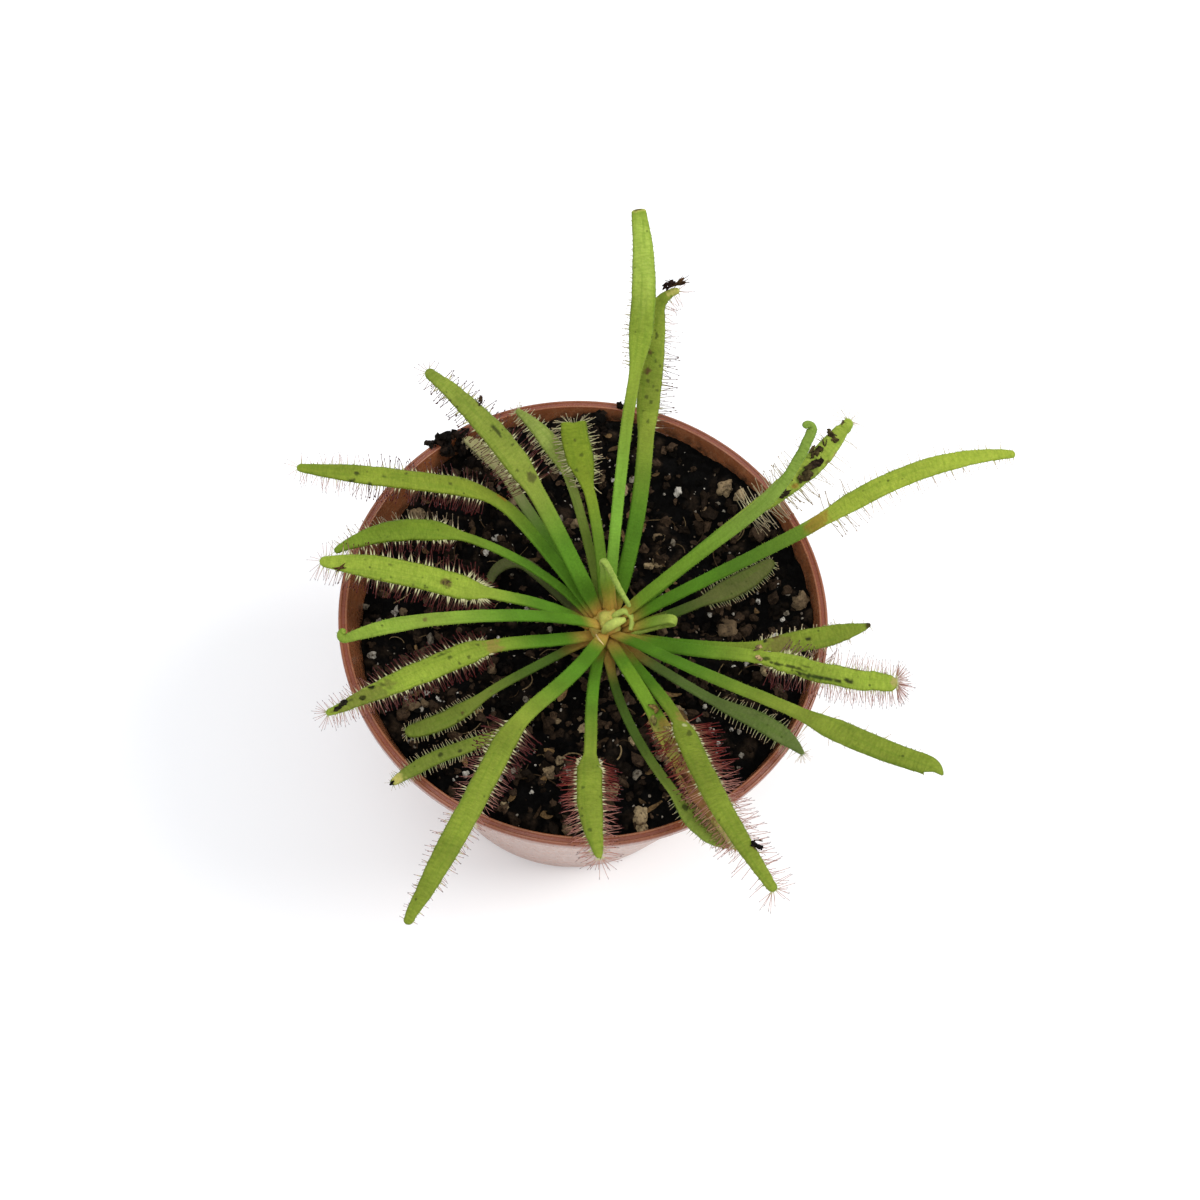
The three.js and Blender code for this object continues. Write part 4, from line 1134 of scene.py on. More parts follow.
def pot_values(points):
    """How stained each point of the pot is with soil, and how much painted shade darkens the rim's
    rounded outer edge and its grooves.
    """
    x, y, z = points.T
    radius = np.hypot(x, y)
    inside = (radius < outer_radius(z) - WALL / 2) & (z > FLOOR / 2)
    soil_top = soil_height(*(points[:, :2].T * inner_radius(SOIL_LEVEL) / RIM_RADIUS))
    stained = 1 - smoothstep(z - soil_top, *STAIN_FADE)
    # Painted shade on the rim's rounded outer edge and, twice as strong, in its grooves
    edge = smoothstep(radius, *(RIM_RADIUS - inset for inset in RIM_SHADE_INSETS))
    on_rim = (z > POT_HEIGHT - GROOVE_DEPTH - 0.02) & (radius > WALL_TOP_RADIUS - WALL)
    groove_shade = smoothstep(POT_HEIGHT - z, 0.02, GROOVE_DEPTH)
    edge = np.where(on_rim, np.maximum(edge, 2 * groove_shade), edge)
    return {"dirt": np.where(inside, stained, 0.0), "edge": edge}


def build_pot(material):
    profile = pot_profile()
    ends = [[0, 0, FOOT_HEIGHT], [0, 0, FLOOR]]
    points = np.vstack([turned(profile, POT_SEGMENTS), ends])
    part = Part(points, closed_faces(len(profile), POT_SEGMENTS), 0, pot_values(points))
    piece = make_piece("pot_shell", [part], [material], ["pot"])
    drill_drain_holes(piece)
    return piece


def drill_drain_holes(pot):
    parts = []
    low, high = -1, 3 * FLOOR
    for i in range(DRAIN_HOLES):
        angle = i / DRAIN_HOLES * 2 * math.pi
        centre = DRAIN_RING_RADIUS * np.array([math.cos(angle), math.sin(angle)])
        profile = np.array([(DRAIN_RADIUS, low), (DRAIN_RADIUS, high)])
        ends = [[*centre, low], [*centre, high]]
        points = np.vstack([turned(profile, DRAIN_SEGMENTS, centre), ends])
        parts.append(Part(points, closed_faces(2, DRAIN_SEGMENTS), 0, {}))
    drill = make_piece("drill", parts, [])
    cut = pot.modifiers.new("drain_holes", "BOOLEAN")
    cut.object = drill
    cut.operation = "DIFFERENCE"
    cut.solver = "EXACT"
    with bpy.context.temp_override(object=pot, active_object=pot):
        bpy.ops.object.modifier_apply(modifier=cut.name)
    bpy.data.objects.remove(drill)


# ---------------------------------------------------------------- soil


def soil_height(x, y):
    """Smooth height of the soil at points, as in the solid model."""
    from_crown = np.hypot(x - CROWN[0], y - CROWN[1])
    facing = 0.5 + 0.5 * np.cos(np.arctan2(y, x) - math.radians(BANK_HEADING))
    outward = smoothstep(np.hypot(x, y), BANK_START_RADIUS, BANK_END_RADIUS)
    bank = BANK_RISE * outward * smoothstep(facing, BANK_EDGE_LOW, BANK_EDGE_HIGH)
    lumps = np.sin(x / LUMP_PITCH + LUMP_SHIFT) * np.cos(y / LUMP_PITCH)
    ripples = np.sin((x - y) / RIPPLE_PITCH) * np.cos((x + 2 * y) / CROSS_RIPPLE_PITCH)
    settled = smoothstep(from_crown, CROWN_CLEARING / 2, CROWN_CLEARING)
    return SOIL_LEVEL + bank + LUMP_HEIGHT * settled * (lumps + RIPPLE_SHARE * ripples)


def ground_height(x, y):
    """Height of the rough soil surface that shows."""
    flat = np.stack([x, y, np.zeros_like(x)], axis=-1)
    height = soil_height(x, y) + rough(flat, SOIL_ROUGHNESS, seed=3)
    for index, (size, depth) in enumerate(SOIL_CRUMBLES):
        height = height + depth * (np.abs(lattice_noise(flat, size, 11 + index)) - CRUMBLE_LEVEL)
    return height


def build_soil(material):
    angles = np.arange(SOIL_SEGMENTS) / SOIL_SEGMENTS * 2 * math.pi
    guess = inner_radius(SOIL_LEVEL)
    edge = inner_radius(soil_height(guess * np.cos(angles), guess * np.sin(angles))) - SOIL_EDGE_GAP
    rings = int(guess / SOIL_RING_STEP)
    shares = np.linspace(1, 0.01, rings)[:, None]
    x = edge * shares * np.cos(angles)
    y = edge * shares * np.sin(angles)
    top = np.stack([x, y, ground_height(x, y)], axis=-1).reshape(-1, 3)
    bottom = FLOOR + 0.1
    skirt = []
    for height in np.linspace(bottom, SOIL_LEVEL - 2, SOIL_SKIRT_RINGS):
        radius = inner_radius(height) - SOIL_GAP
        skirt.append(turned(np.array([(radius, height)]), SOIL_SEGMENTS))
    ends = [[0, 0, bottom], [0, 0, ground_height(np.zeros(1), np.zeros(1))[0]]]
    points = np.vstack([*skirt, top, ends])
    # Near black painted shade in the hollows, brown on the raised lumps, with random patches mixed in
    raised = points[:, 2] - soil_height(points[:, 0], points[:, 1])
    patches = SOIL_PATCH_RISE * lattice_noise(points, SOIL_PATCH_WIDTH, 8)
    tone = smoothstep(raised + patches, 0, SOIL_SHADE_RISE)
    values = {"tint": lerp(SOIL_HOLLOW_SHADE, SOIL_LUMP, tone[:, None])}
    part = Part(points, closed_faces(len(skirt) + rings, SOIL_SEGMENTS), 0, values)
    return make_piece("soil_surface", [part], [material], ["soil"])


def lump_template(level):
    """Points and faces of an even round lump."""
    shape = bmesh.new()
    bmesh.ops.create_icosphere(shape, subdivisions=level, radius=1)
    points = np.array([v.co[:] for v in shape.verts])
    faces = np.array([[v.index for v in f.verts] for f in shape.faces])
    shape.free()
    return points, faces


def random_turns(random, count):
    """Random rotation matrices."""
    turns = unit(random.normal(size=(count, 4)))
    w, x, y, z = turns.T
    rows = [
        [1 - 2 * (y * y + z * z), 2 * (x * y - z * w), 2 * (x * z + y * w)],
        [2 * (x * y + z * w), 1 - 2 * (x * x + z * z), 2 * (y * z - x * w)],
        [2 * (x * z - y * w), 2 * (y * z + x * w), 1 - 2 * (x * x + y * y)],
    ]
    return np.moveaxis(np.array(rows), -1, 0)


def lumps(places, radii, stretch, tints, level, roughness, seed):
    """Rough lumps at places, each turned and stretched at random."""
    random = seeded(seed)
    template, faces = lump_template(level)
    count = len(places)
    scale = radii[:, None] * random.uniform(*stretch, size=(count, 3))
    shifted = template[None] + random.uniform(0, NOISE_SPAN, size=(count, 1, 3))
    bulges = 1 + roughness * lattice_noise(shifted, BULGE_WIDTH, seed)
    fine = lattice_noise(shifted, FINE_BULGE_WIDTH, seed + 1)
    bulges = bulges + FINE_BULGE_SHARE * roughness * fine
    shape = template[None] * bulges[..., None] * scale[:, None]
    shape = np.einsum("nij,npj->npi", random_turns(random, count), shape)
    points = (shape + places[:, None]).reshape(-1, 3)
    values = {"tint": np.repeat(tints, len(template), axis=0)}
    return Part(points, [repeated(faces, len(template), count)], 0, values)


def scattered(random, count, reach):
    """Random places on the soil, kept off the crown."""
    drawn = SPARE_PLACES * count
    angles = random.uniform(0, 2 * math.pi, drawn)
    radii = inner_radius(SOIL_LEVEL) * reach * np.sqrt(random.uniform(0, 1, drawn))
    x = radii * np.cos(angles)
    y = radii * np.sin(angles)
    clear = np.hypot(x - CROWN[0], y - CROWN[1]) > CROWN_ROOM
    x = x[clear][:count]
    y = y[clear][:count]
    return np.stack([x, y, ground_height(x, y)], axis=-1)


def mixed_tints(random, count, tints):
    """Random colours from the first of two tints to the second, most of them near the first."""
    share = random.uniform(0, 1, (count, 1)) ** 2
    return lerp(*tints, share) * random.uniform(*TINT_SWAY, (count, 1))


def grains(random, kind, fixed=()):
    """Lumps of one kind: those at fixed places of x, y and radius, then those scattered."""
    places = scattered(random, kind.count, kind.reach)
    radii = random.uniform(*kind.radii, len(places)) ** kind.power * kind.scale
    if len(fixed):
        x, y, fixed_radii = np.array(fixed, float).T
        places = np.vstack([np.column_stack([x, y, ground_height(x, y)]), places])
        radii = np.concatenate([fixed_radii, radii])
    places[:, 2] += radii * kind.raised
    tints = mixed_tints(random, len(radii), kind.tints)
    return lumps(places, radii, kind.stretch, tints, kind.level, kind.roughness, kind.seed)


def clod_heaps(random):
    """Clods of soil, each a heap of lumps that keeps inside the wall where it lies below the rim."""
    clods = np.repeat(np.array(CLODS), CLOD_LUMPS, axis=0)
    shift = unit(random.normal(size=(len(clods), 3))) * random.uniform(0, 1, (len(clods), 1))
    places = clods[:, :3] + shift * clods[:, 3:] * CLOD_SPREAD
    radii = clods[:, 3] * random.uniform(*CLOD_LUMP_SHARES, len(clods))
    under_rim = places[:, 2] < POT_HEIGHT - CLOD_RIM_DEPTH
    wall_room = inner_radius(places[:, 2]) - CLOD_STRETCH[1] * radii
    room = np.where(under_rim, wall_room, RIM_RADIUS + 1)
    places[:, :2] *= np.minimum(1, room / np.hypot(places[:, 0], places[:, 1]))[:, None]
    tints = mixed_tints(random, len(radii), CLOD_TINTS)
    return lumps(places, radii, CLOD_STRETCH, tints, 1, 0.8, 25)


def build_crumbs(material):
    random = seeded(21)
    parts = [grains(random, CRUMBS), clod_heaps(random), fibre_part(23), scrap_flakes(24)]
    return make_piece("soil_crumbs", parts, [material], smooth=False)


def scrap_flakes(seed):
    """Flat scraps of dead leaf and bark that lie on the soil, curled up at both ends."""
    random = seeded(seed)
    places = scattered(random, FLAKES, FLAKE_REACH)
    places[:, 2] += FLAKE_RISE
    template, faces = lump_template(2)
    count = len(places)
    sizes = random.uniform(*FLAKE_SIZES, (count, 3))
    shifted = template + random.uniform(0, NOISE_SPAN, (count, 1, 3))
    bulges = 1 + FLAKE_ROUGHNESS * lattice_noise(shifted, 0.8, seed)
    shape = template * bulges[..., None] * sizes[:, None]
    shape[..., 2] += FLAKE_CURL * shape[..., 0] ** 2 / sizes[:, None, 0]
    tilt = random_turns(random, count)
    level = unit(np.stack([tilt[:, 0, 0], tilt[:, 0, 1], 0.3 * tilt[:, 0, 2]], axis=-1))
    up = unit(np.array([0, 0, 1]) + 0.4 * tilt[:, 1])
    side = unit(np.cross(up, level))
    frames = np.stack([level, side, np.cross(level, side)], axis=-1)
    points = np.einsum("nij,npj->npi", frames, shape) + places[:, None]
    tints = mixed_tints(random, count, FLAKE_TINTS)
    values = {"tint": np.repeat(tints, len(template), axis=0)}
    return Part(points.reshape(-1, 3), [repeated(faces, len(template), count)], 0, values)


def tube(path, radii, sides):
    """Points and faces of a round strand along a path, closed at both ends."""
    along = unit(np.gradient(path, axis=0))
    level = unit(np.cross(along, np.array([0.13, 0.21, 1.0])))
    up = np.cross(level, along)
    angles = (np.arange(sides) / sides * 2 * math.pi)[:, None]
    turn = np.cos(angles) * level[:, None] + np.sin(angles) * up[:, None]
    rings = path[:, None] + turn * np.asarray(radii)[:, None, None]
    points = np.vstack([rings.reshape(-1, 3), path[0], path[-1]])
    return points, closed_faces(len(path), sides)


def fibre_part(seed):
    """Thin curved fibres that lie on the soil."""
    random = seeded(seed)
    points, faces, tints = [], [], []
    total = 0
    for start in scattered(random, FIBRES, FIBRE_REACH):
        length = random.uniform(*FIBRE_LENGTHS)
        steps = np.linspace(0, 1, FIBRE_POINTS)
        bend = random.uniform(0, 2 * math.pi), random.uniform(-FIBRE_BEND, FIBRE_BEND)
        heading = bend[0] + bend[1] * steps
        step = length / len(steps)
        x = start[0] + np.cumsum(np.cos(heading)) * step
        y = start[1] + np.cumsum(np.sin(heading)) * step
        inside = np.hypot(x, y) < inner_radius(SOIL_LEVEL) - 1
        if inside.sum() < FIBRE_POINTS / 2:
            continue
        path = np.column_stack([x, y, ground_height(x, y) + FIBRE_RISE])[inside]
        path[1:-1, 2] = (path[:-2, 2] + path[1:-1, 2] + path[2:, 2]) / 3 + FIBRE_RISE
        radii = FIBRE_RADIUS * random.uniform(*FIBRE_STOUTNESS) * np.ones(len(path))
        strand, sides = tube(path, radii, 4)
        points.append(strand)
        faces += [group + total for group in sides]
        tints.append(np.tile(mixed_tints(random, 1, FIBRE_TINTS), (len(strand), 1)))
        total += len(strand)
    return Part(np.vstack(points), faces, 0, {"tint": np.vstack(tints)})


def build_perlite(material):
    random = seeded(31)
    parts = [grains(random, PERLITE_BITS, PERLITE), grains(random, PERLITE_DUST)]
    return make_piece("soil_perlite", parts, [material], smooth=False)


def build_gravel(material):
    part = grains(seeded(41), GRAVEL, STONES)
    return make_piece("soil_gravel", [part], [material])


# ---------------------------------------------------------------- leaves


def direction(leaf, distance):
    """Heading and pitch of a leaf at distances along it, in radians."""
    petiole, blade = leaf.lengths
    past = np.maximum(0, distance - petiole)
    to_knee = np.minimum(1, distance / petiole)
    knee = smoothstep(distance, petiole - KNEE_REACH, petiole + KNEE_REACH)
    heading = leaf.heading + leaf.turns[0] * to_knee + leaf.turns[1] * knee
    heading = heading + leaf.turns[2] * past / blade
    pitch = lerp(leaf.pitches[0], leaf.pitches[1], to_knee)
    pitch = pitch + (leaf.pitches[2] - leaf.pitches[1]) * np.minimum(1, past / (leaf.fold or blade))
    if leaf.curl:
        length, turn, lift = leaf.curl
        curled = np.maximum(0, (distance - petiole - blade + length) / length)
        heading = heading + turn * curled
        pitch = pitch + lift * curled
    return np.radians(heading), np.radians(pitch)


def axes(leaf, distance):
    """Unit directions along a leaf, across it to the left and up from its face."""
    heading, pitch = direction(leaf, distance)
    flat = np.cos(pitch)
    along = np.stack([flat * np.cos(heading), flat * np.sin(heading), np.sin(pitch)], axis=-1)
    across = np.stack([-np.sin(heading), np.cos(heading), 0 * heading], axis=-1)
    return along, across, np.cross(along, across)


def middle(leaf, distance):
    """Points of a leaf's middle line at distances along it."""
    total = sum(leaf.lengths)
    steps = round(total / PATH_STEP)
    step = total / steps
    along, _, _ = axes(leaf, (np.arange(steps) + 0.5) * step)
    start = math.radians(leaf.heading if leaf.at is None else leaf.at)
    base = np.array([*CROWN, leaf.ring.height])
    base[:2] += leaf.ring.radius * np.array([math.cos(start), math.sin(start)])
    path = np.vstack([base, base + np.cumsum(along, axis=0) * step])
    places = np.arange(steps + 1) * step
    return np.stack([np.interp(distance, places, path[:, k]) for k in range(3)], axis=-1)


def opened(leaf, distance):
    start, end = leaf.joint
    return smoothstep(distance, leaf.lengths[0] + start, leaf.lengths[0] + end)


def width(leaf, distance):
    petiole, blade = leaf.lengths
    share = (distance - petiole) / blade
    narrow = lerp(BASE_WIDTH, leaf.widths[0], smoothstep(distance, 0, BASE_LENGTH))
    start, tip = leaf.taper
    tapered = np.maximum(0, (share - start) / (1 - start)) ** TAPER_POWER
    return lerp(narrow, leaf.widths[1] * lerp(1, tip, tapered), opened(leaf, distance))


def thickness(leaf, distance):
    base = lerp(BASE_THICKNESS, PETIOLE_THICKNESS, smoothstep(distance, 0, BASE_LENGTH))
    return lerp(base, BLADE_THICKNESS, opened(leaf, distance))


def leaf_distances(leaf):
    """Distances along a leaf at which its sections stand, close together on the blade."""
    petiole, blade = leaf.lengths
    low = np.arange(0, petiole - 2, PETIOLE_STEP)
    high = np.arange(petiole - 2, petiole + blade - END_LENGTH, BLADE_STEP)
    tip = petiole + blade - END_LENGTH * np.cos(np.linspace(0.1, math.pi / 2, 8))
    return np.concatenate([low, high, tip])


def leaf_tint(leaf, name, distance, side):
    """Linear colour at points of a leaf: orange base, green petiole, yellow-green blade."""
    petiole, blade = leaf.lengths
    half = width(leaf, distance) / 2
    green = smoothstep(distance, petiole * 0.5, petiole + 3)[..., None]
    colour = lerp(leaf.look.petiole, leaf.look.blade, green)
    facing = math.cos(math.radians(leaf.heading - ORANGE_HEADING))
    reach = ORANGE_REACH + ORANGE_SWAY * facing
    rooted = ORANGE_SHARE - ORANGE_SHARE * smoothstep(distance, 0.3, reach)[..., None]
    colour = lerp(colour, BASE_ORANGE, rooted)
    place = np.stack([distance, side * half, 0 * distance], axis=-1)
    colour = colour * (1 + PATCH_SHARE * lattice_noise(place, PATCH_WIDTH, len(name)))[..., None]
    for mark in MARKS.get(name, []):
        far = (distance - petiole - mark.share * blade) / mark.length
        wide = (side - mark.side) * half / mark.width
        grain = mark.grain * lattice_noise(place, MARK_GRAIN_WIDTH, 5)
        radius = 2 * np.hypot(far, wide) + grain
        strength = mark.strength * (1 - smoothstep(radius, *MARK_EDGE))[..., None]
        colour = lerp(colour, mark.tint, strength)
    return colour


def section_angles():
    """Angles round a leaf's section, closer together on its upper face."""
    top = np.arccos(np.linspace(1, -1, TOP_POINTS))
    low = 2 * math.pi - np.arccos(np.linspace(-1, 1, LOW_POINTS))
    return np.concatenate([top, low[1:-1]])


def closing_share(leaf, distance, end_width):
    """How much of its width and thickness a leaf keeps as it closes round at its end."""
    reach = end_width * leaf.end
    ended = ((distance - sum(leaf.lengths) + reach) / reach).clip(0)
    return np.sqrt(np.clip(1 - ended**2, LEAST_CLOSING, 1))


def section_places(leaf, distance, number):
    """Where the points of a leaf's sections lie from side to side (-1 to 1), across and up."""
    half = width(leaf, distance) / 2
    thick = thickness(leaf, distance)[:, None] / 2
    share = opened(leaf, distance)[:, None]
    closing = closing_share(leaf, distance, half[-1])[:, None]
    angles = section_angles()
    side = np.cos(angles) * np.ones_like(distance)[:, None]
    places = np.stack([distance, 0 * distance, 0 * distance], axis=-1)
    edge = np.sign(side) * np.abs(side) * rough(places, EDGE_WOBBLE, number)[:, None] * leaf.ragged
    x = side * (half[:, None] * closing) + edge * side * share
    ridges = [distance[:, None] / WRINKLE_LENGTH, x / WRINKLE_WIDTH, np.sin(angles)[None]]
    ridges = np.stack(np.broadcast_arrays(*ridges), axis=-1)
    wrinkle = WRINKLE_HEIGHT * leaf.ragged * lattice_noise(ridges, 1, number) * share
    face = np.sign(np.sin(angles)) * np.abs(np.sin(angles)) ** FACE_ROUND
    z = face * (thick + wrinkle) * closing
    z = z - DOME_SHARE * half[:, None] * share * (side**2 - DOME_LEVEL)
    channel = CHANNEL_DEPTH * (1 - share) * smoothstep(distance, 1, 6)[:, None]
    z = z - channel * (1 - side**2) * (face > 0)
    return side, x, z


def leaf_part(leaf, name, number):
    """A leaf's tissue as one closed skin, with the values that its colours are made from."""
    distance = leaf_distances(leaf)
    total = sum(leaf.lengths)
    along, across, up = axes(leaf, distance)
    centre = middle(leaf, distance)
    side, x, z = section_places(leaf, distance, number)
    points = centre[:, None] + across[:, None] * x[..., None] + up[:, None] * z[..., None]
    back = leaf.lobes * smoothstep(distance, total - LOBE_REACH, total)[:, None]
    back = back * (1 - np.abs(x) / (width(leaf, distance)[:, None] / 2)).clip(0)
    points = points - along[:, None] * back[..., None]
    wobble = rough(points, FACE_WOBBLE, number) * smoothstep(distance, 2, 8)[:, None]
    points = points + up[:, None] * wobble[..., None]
    everywhere = distance[:, None] * np.ones_like(side)
    tint = leaf_tint(leaf, name, everywhere, side).reshape(-1, 3)
    values = {
        "tint": np.vstack([tint, tint[0], tint[-1]]),
        "blade": np.append(opened(leaf, everywhere).ravel(), [0, 1]),
        "share": np.zeros(len(tint) + 2),
        "along": np.append(everywhere.ravel(), [0, total]),
        "across": np.append(x.ravel(), [0, 0]),
        "number": np.full(len(tint) + 2, 7.3 * number),
    }
    points = np.vstack([points.reshape(-1, 3), centre[0], centre[-1]])
    return Part(points, closed_faces(len(distance), SECTION_POINTS), 0, values)


def plain_values(tint, share=None):
    """Values of a part that carries its own colour and isn't leaf tissue."""
    nothing = np.zeros(len(tint))
    share = nothing if share is None else share
    values = {"tint": tint, "blade": nothing, "share": share}
    values.update({"along": nothing, "across": nothing, "number": nothing})
    return values


# ---------------------------------------------------------------- tentacles


Hairs = namedtuple("Hairs", "root way length side cream")


def row_hairs(leaf, random, place, spacing, droops, sizes, cream):
    """One row of tentacles along the blade, thinned towards its tip as its look says."""
    look = leaf.look
    start, blade = leaf.lengths
    count = int((blade - 1) / spacing * max(look.density))
    share = (np.arange(count) + random.uniform(0.05, 0.95, count)) / max(count, 1)
    first = start + leaf.joint[0] + ROW_START
    distance = first + share * (start + blade - END_LENGTH - first)
    along, across, up = axes(leaf, distance)
    droop = np.radians(random.uniform(*droops, count))
    lean = np.radians(random.normal(ROW_LEAN, ROW_LEAN_SPREAD, count))
    side = np.sign(place) if place else random.choice([-1, 1], count)
    side = side * np.ones(count)
    flat = (np.cos(droop) * np.cos(lean) * side)[:, None]
    way = across * flat - up * (np.sin(droop) * np.cos(lean))[:, None]
    way = way + along * np.sin(lean)[:, None]
    half = width(leaf, distance) / 2
    root = middle(leaf, distance) + across * (place * (half - 0.05))[:, None]
    depth = thickness(leaf, distance) / 2 * math.sqrt(1 - place * place) * 0.9
    root = root - up * (depth + DOME_SHARE * half * (place * place - DOME_LEVEL))[:, None]
    length = random.uniform(*sizes, count) * lerp(*look.length, share)
    chance = lerp(*look.density, share) / max(look.density)
    chance = chance * np.where(side > 0, *look.sides)
    keep = random.uniform(size=count) < chance
    cream = cream * look.root * random.uniform(*ROOT_SWAY, count)
    return Hairs(root[keep], way[keep], length[keep], side[keep], cream[keep])


def tip_hairs(leaf, random):
    """Tentacles that fan out round the end of the blade."""
    count = leaf.look.tip
    distance = sum(leaf.lengths) - 0.2
    along, across, up = (axis[0] for axis in axes(leaf, np.array([distance])))
    sway = random.uniform(-TIP_FAN_SWAY, TIP_FAN_SWAY, count)
    spread = np.radians(np.linspace(-TIP_FAN, TIP_FAN, count) + sway)
    droop = np.radians(random.uniform(*TIP_DROOPS, count))[:, None]
    out = np.cos(spread)[:, None] * along + np.sin(spread)[:, None] * across
    way = np.cos(droop) * out - np.sin(droop) * up
    half = width(leaf, distance) / 2
    root = middle(leaf, np.array([distance])) + np.sin(spread)[:, None] * across * half * 0.75
    root = root - np.sin(droop) * up * thickness(leaf, distance) / 2
    root = root - (leaf.lobes * (1 - 0.75 * np.abs(np.sin(spread))))[:, None] * along
    length = random.uniform(*TIP_LENGTHS, count) * leaf.look.length[1]
    return Hairs(root, unit(way), length, np.sign(np.sin(spread)), np.full(count, TIP_ROOT))


def knee_hairs(leaf, random):
    """Cream hairs that stand out sideways and back from where the blade begins."""
    count = leaf.look.knee * 2
    side = np.where(np.arange(count) % 2, 1.0, -1.0)
    start = leaf.lengths[0]
    distance = start + random.uniform(leaf.joint[0] + 0.5, leaf.joint[1], count)
    along, across, up = axes(leaf, distance)
    sweep = lerp(*KNEE_SWEEPS, (distance - start) / leaf.joint[1])
    back = np.radians(sweep + random.normal(0, KNEE_SWEEP_SPREAD, count))
    rise = np.radians(random.uniform(*KNEE_RISES, count))
    flat = across * (side * np.cos(back))[:, None] - along * np.sin(back)[:, None]
    way = flat * np.cos(rise)[:, None] + up * np.sin(rise)[:, None]
    half = width(leaf, distance) / 2
    root = middle(leaf, distance) + across * (side * (half - 0.1))[:, None]
    length = random.uniform(*KNEE_LENGTHS, count) * leaf.look.root
    return Hairs(root, unit(way), length, side, KNEE_ROOT_SHARE * length)


def grown_hairs(leaf, random):
    groups = [row_hairs(leaf, random, *row) for row in TENTACLE_ROWS[: leaf.look.rows]]
    groups += [tip_hairs(leaf, random), knee_hairs(leaf, random)]
    return Hairs(*(np.concatenate(column) for column in zip(*groups)))


def lifted(centre):
    """Stalk points raised onto the soil, and which stalks stay clear of the pot's wall."""
    x, y = centre[..., 0], centre[..., 1]
    radius = np.hypot(x, y)
    on_soil = radius < inner_radius(SOIL_LEVEL)
    floor = np.where(on_soil, ground_height(x, y) + STALK_LIFT, NO_FLOOR)
    lift = np.maximum(0, floor - centre[..., 2])
    centre[..., 2] += lift
    inner, outer, above = RIM_MARGINS
    wall = (radius > inner_radius(POT_HEIGHT) - inner) & (radius < RIM_RADIUS + outer)
    blocked = (wall & (centre[..., 2] < POT_HEIGHT + above)).any(axis=1)
    return centre, ~blocked & (lift.max(axis=1) < MOST_LIFT)


def stalk_tints(leaf, side, open_air, levels):
    """Colours of each stalk from its cream root through its stalk to its gland; over the open air the
    stalk is painted paler pink, as light shining through it.
    """
    redness = np.where(side > 0, *leaf.look.red)[:, None]
    # Painted light: over the open air the stalk turns paler pink, as if lit through from behind
    red = lerp(leaf.look.stalk, STALK_BACKLIT_PINK, open_air[:, None])
    stalk = lerp(STALK_PALE, red, redness)
    gland = lerp(GLAND_PALE, GLAND_RED, redness)
    root = np.array(leaf.look.cream) * np.ones_like(stalk)
    rows = [root, root, lerp(root, stalk, 0.8)] + [stalk] * 2
    rows += [gland] * (levels - FIRST_GLAND_RING)
    return np.stack(rows, axis=1)


def stalk_lines(hairs, random):
    """Middle lines of bent stalks from root to gland, and which of them stay clear of the pot."""
    length = hairs.length
    root_end = np.minimum(hairs.cream, 0.6 * length)
    gland = np.minimum(GLAND_LENGTH, 0.3 * length)
    neck = length - gland
    heights = [0 * neck, 0.55 * root_end, root_end, (root_end + neck) / 2, neck]
    heights += [neck + part * gland for part in GLAND_RINGS]
    reach = np.stack(heights, axis=1)[..., None]
    count = len(length)
    bend = unit(random.normal(size=(count, 3))) * random.uniform(0, STALK_BEND, (count, 1))
    sag = reach * reach / length[:, None, None]
    return lifted(hairs.root[:, None] + hairs.way[:, None] * reach + bend[:, None] * sag)


def stalk_radii(leaf, open_air, cream):
    """Radii of each stalk at its rings: thinner over the open air, stouter on a long root."""
    radii = leaf.look.stout * lerp(1, OPEN_AIR_STOUTNESS, open_air)[:, None] * STALK_RADII
    radii[:, FIRST_GLAND_RING:] *= lerp(1, OPEN_AIR_GLAND, open_air)[:, None]
    radii[:, :3] *= lerp(THIN_ROOT, THICK_ROOT, smoothstep(cream, 0.3, 1.0))[:, None]
    return radii


def tentacle_part(leaf, name, seed):
    """All tentacles of a leaf as one part: curved stalks with a gland at the end."""
    random = seeded(seed)
    hairs = grown_hairs(leaf, random)
    centre, clear = stalk_lines(hairs, random)
    keep = clear & clear_of_leaves(centre[:, 2:], name)
    centre, way, side = centre[keep], hairs.way[keep], hairs.side[keep]
    count, levels = centre.shape[:2]
    first = unit(np.cross(way, random.normal(size=(count, 3))))
    second = np.cross(way, first)
    angles = np.arange(STALK_SIDES) / STALK_SIDES * 2 * math.pi
    cosine, sine = np.cos(angles)[:, None], np.sin(angles)[:, None]
    turn = cosine * first[:, None, None] + sine * second[:, None, None]
    open_air = smoothstep(np.hypot(centre[:, 0, 0], centre[:, 0, 1]), *OPEN_AIR_RADII)
    radii = stalk_radii(leaf, open_air, hairs.cream[keep])
    rings = centre[:, :-1, None] + radii[:, :, None, None] * turn
    points = np.concatenate([rings.reshape(count, -1, 3), centre[:, -1:]], axis=1)
    size = points.shape[1]
    quads = grid_faces(levels - 1, STALK_SIDES)
    cap = fan_faces((levels - 2) * STALK_SIDES, STALK_SIDES, size - 1)
    faces = [repeated(quads, size, count), repeated(cap, size, count)]
    tints = stalk_tints(leaf, side, open_air, levels)
    tints = np.concatenate([np.repeat(tints[:, :-1], STALK_SIDES, axis=1), tints[:, -1:]], axis=1)
    on_gland = np.repeat(np.arange(levels - 1) >= FIRST_GLAND_RING, STALK_SIDES)
    share = np.append(on_gland, True).astype(float)
    values = plain_values(tints.reshape(-1, 3), np.tile(share, count))
    return Part(points.reshape(-1, 3), faces, 1, values)


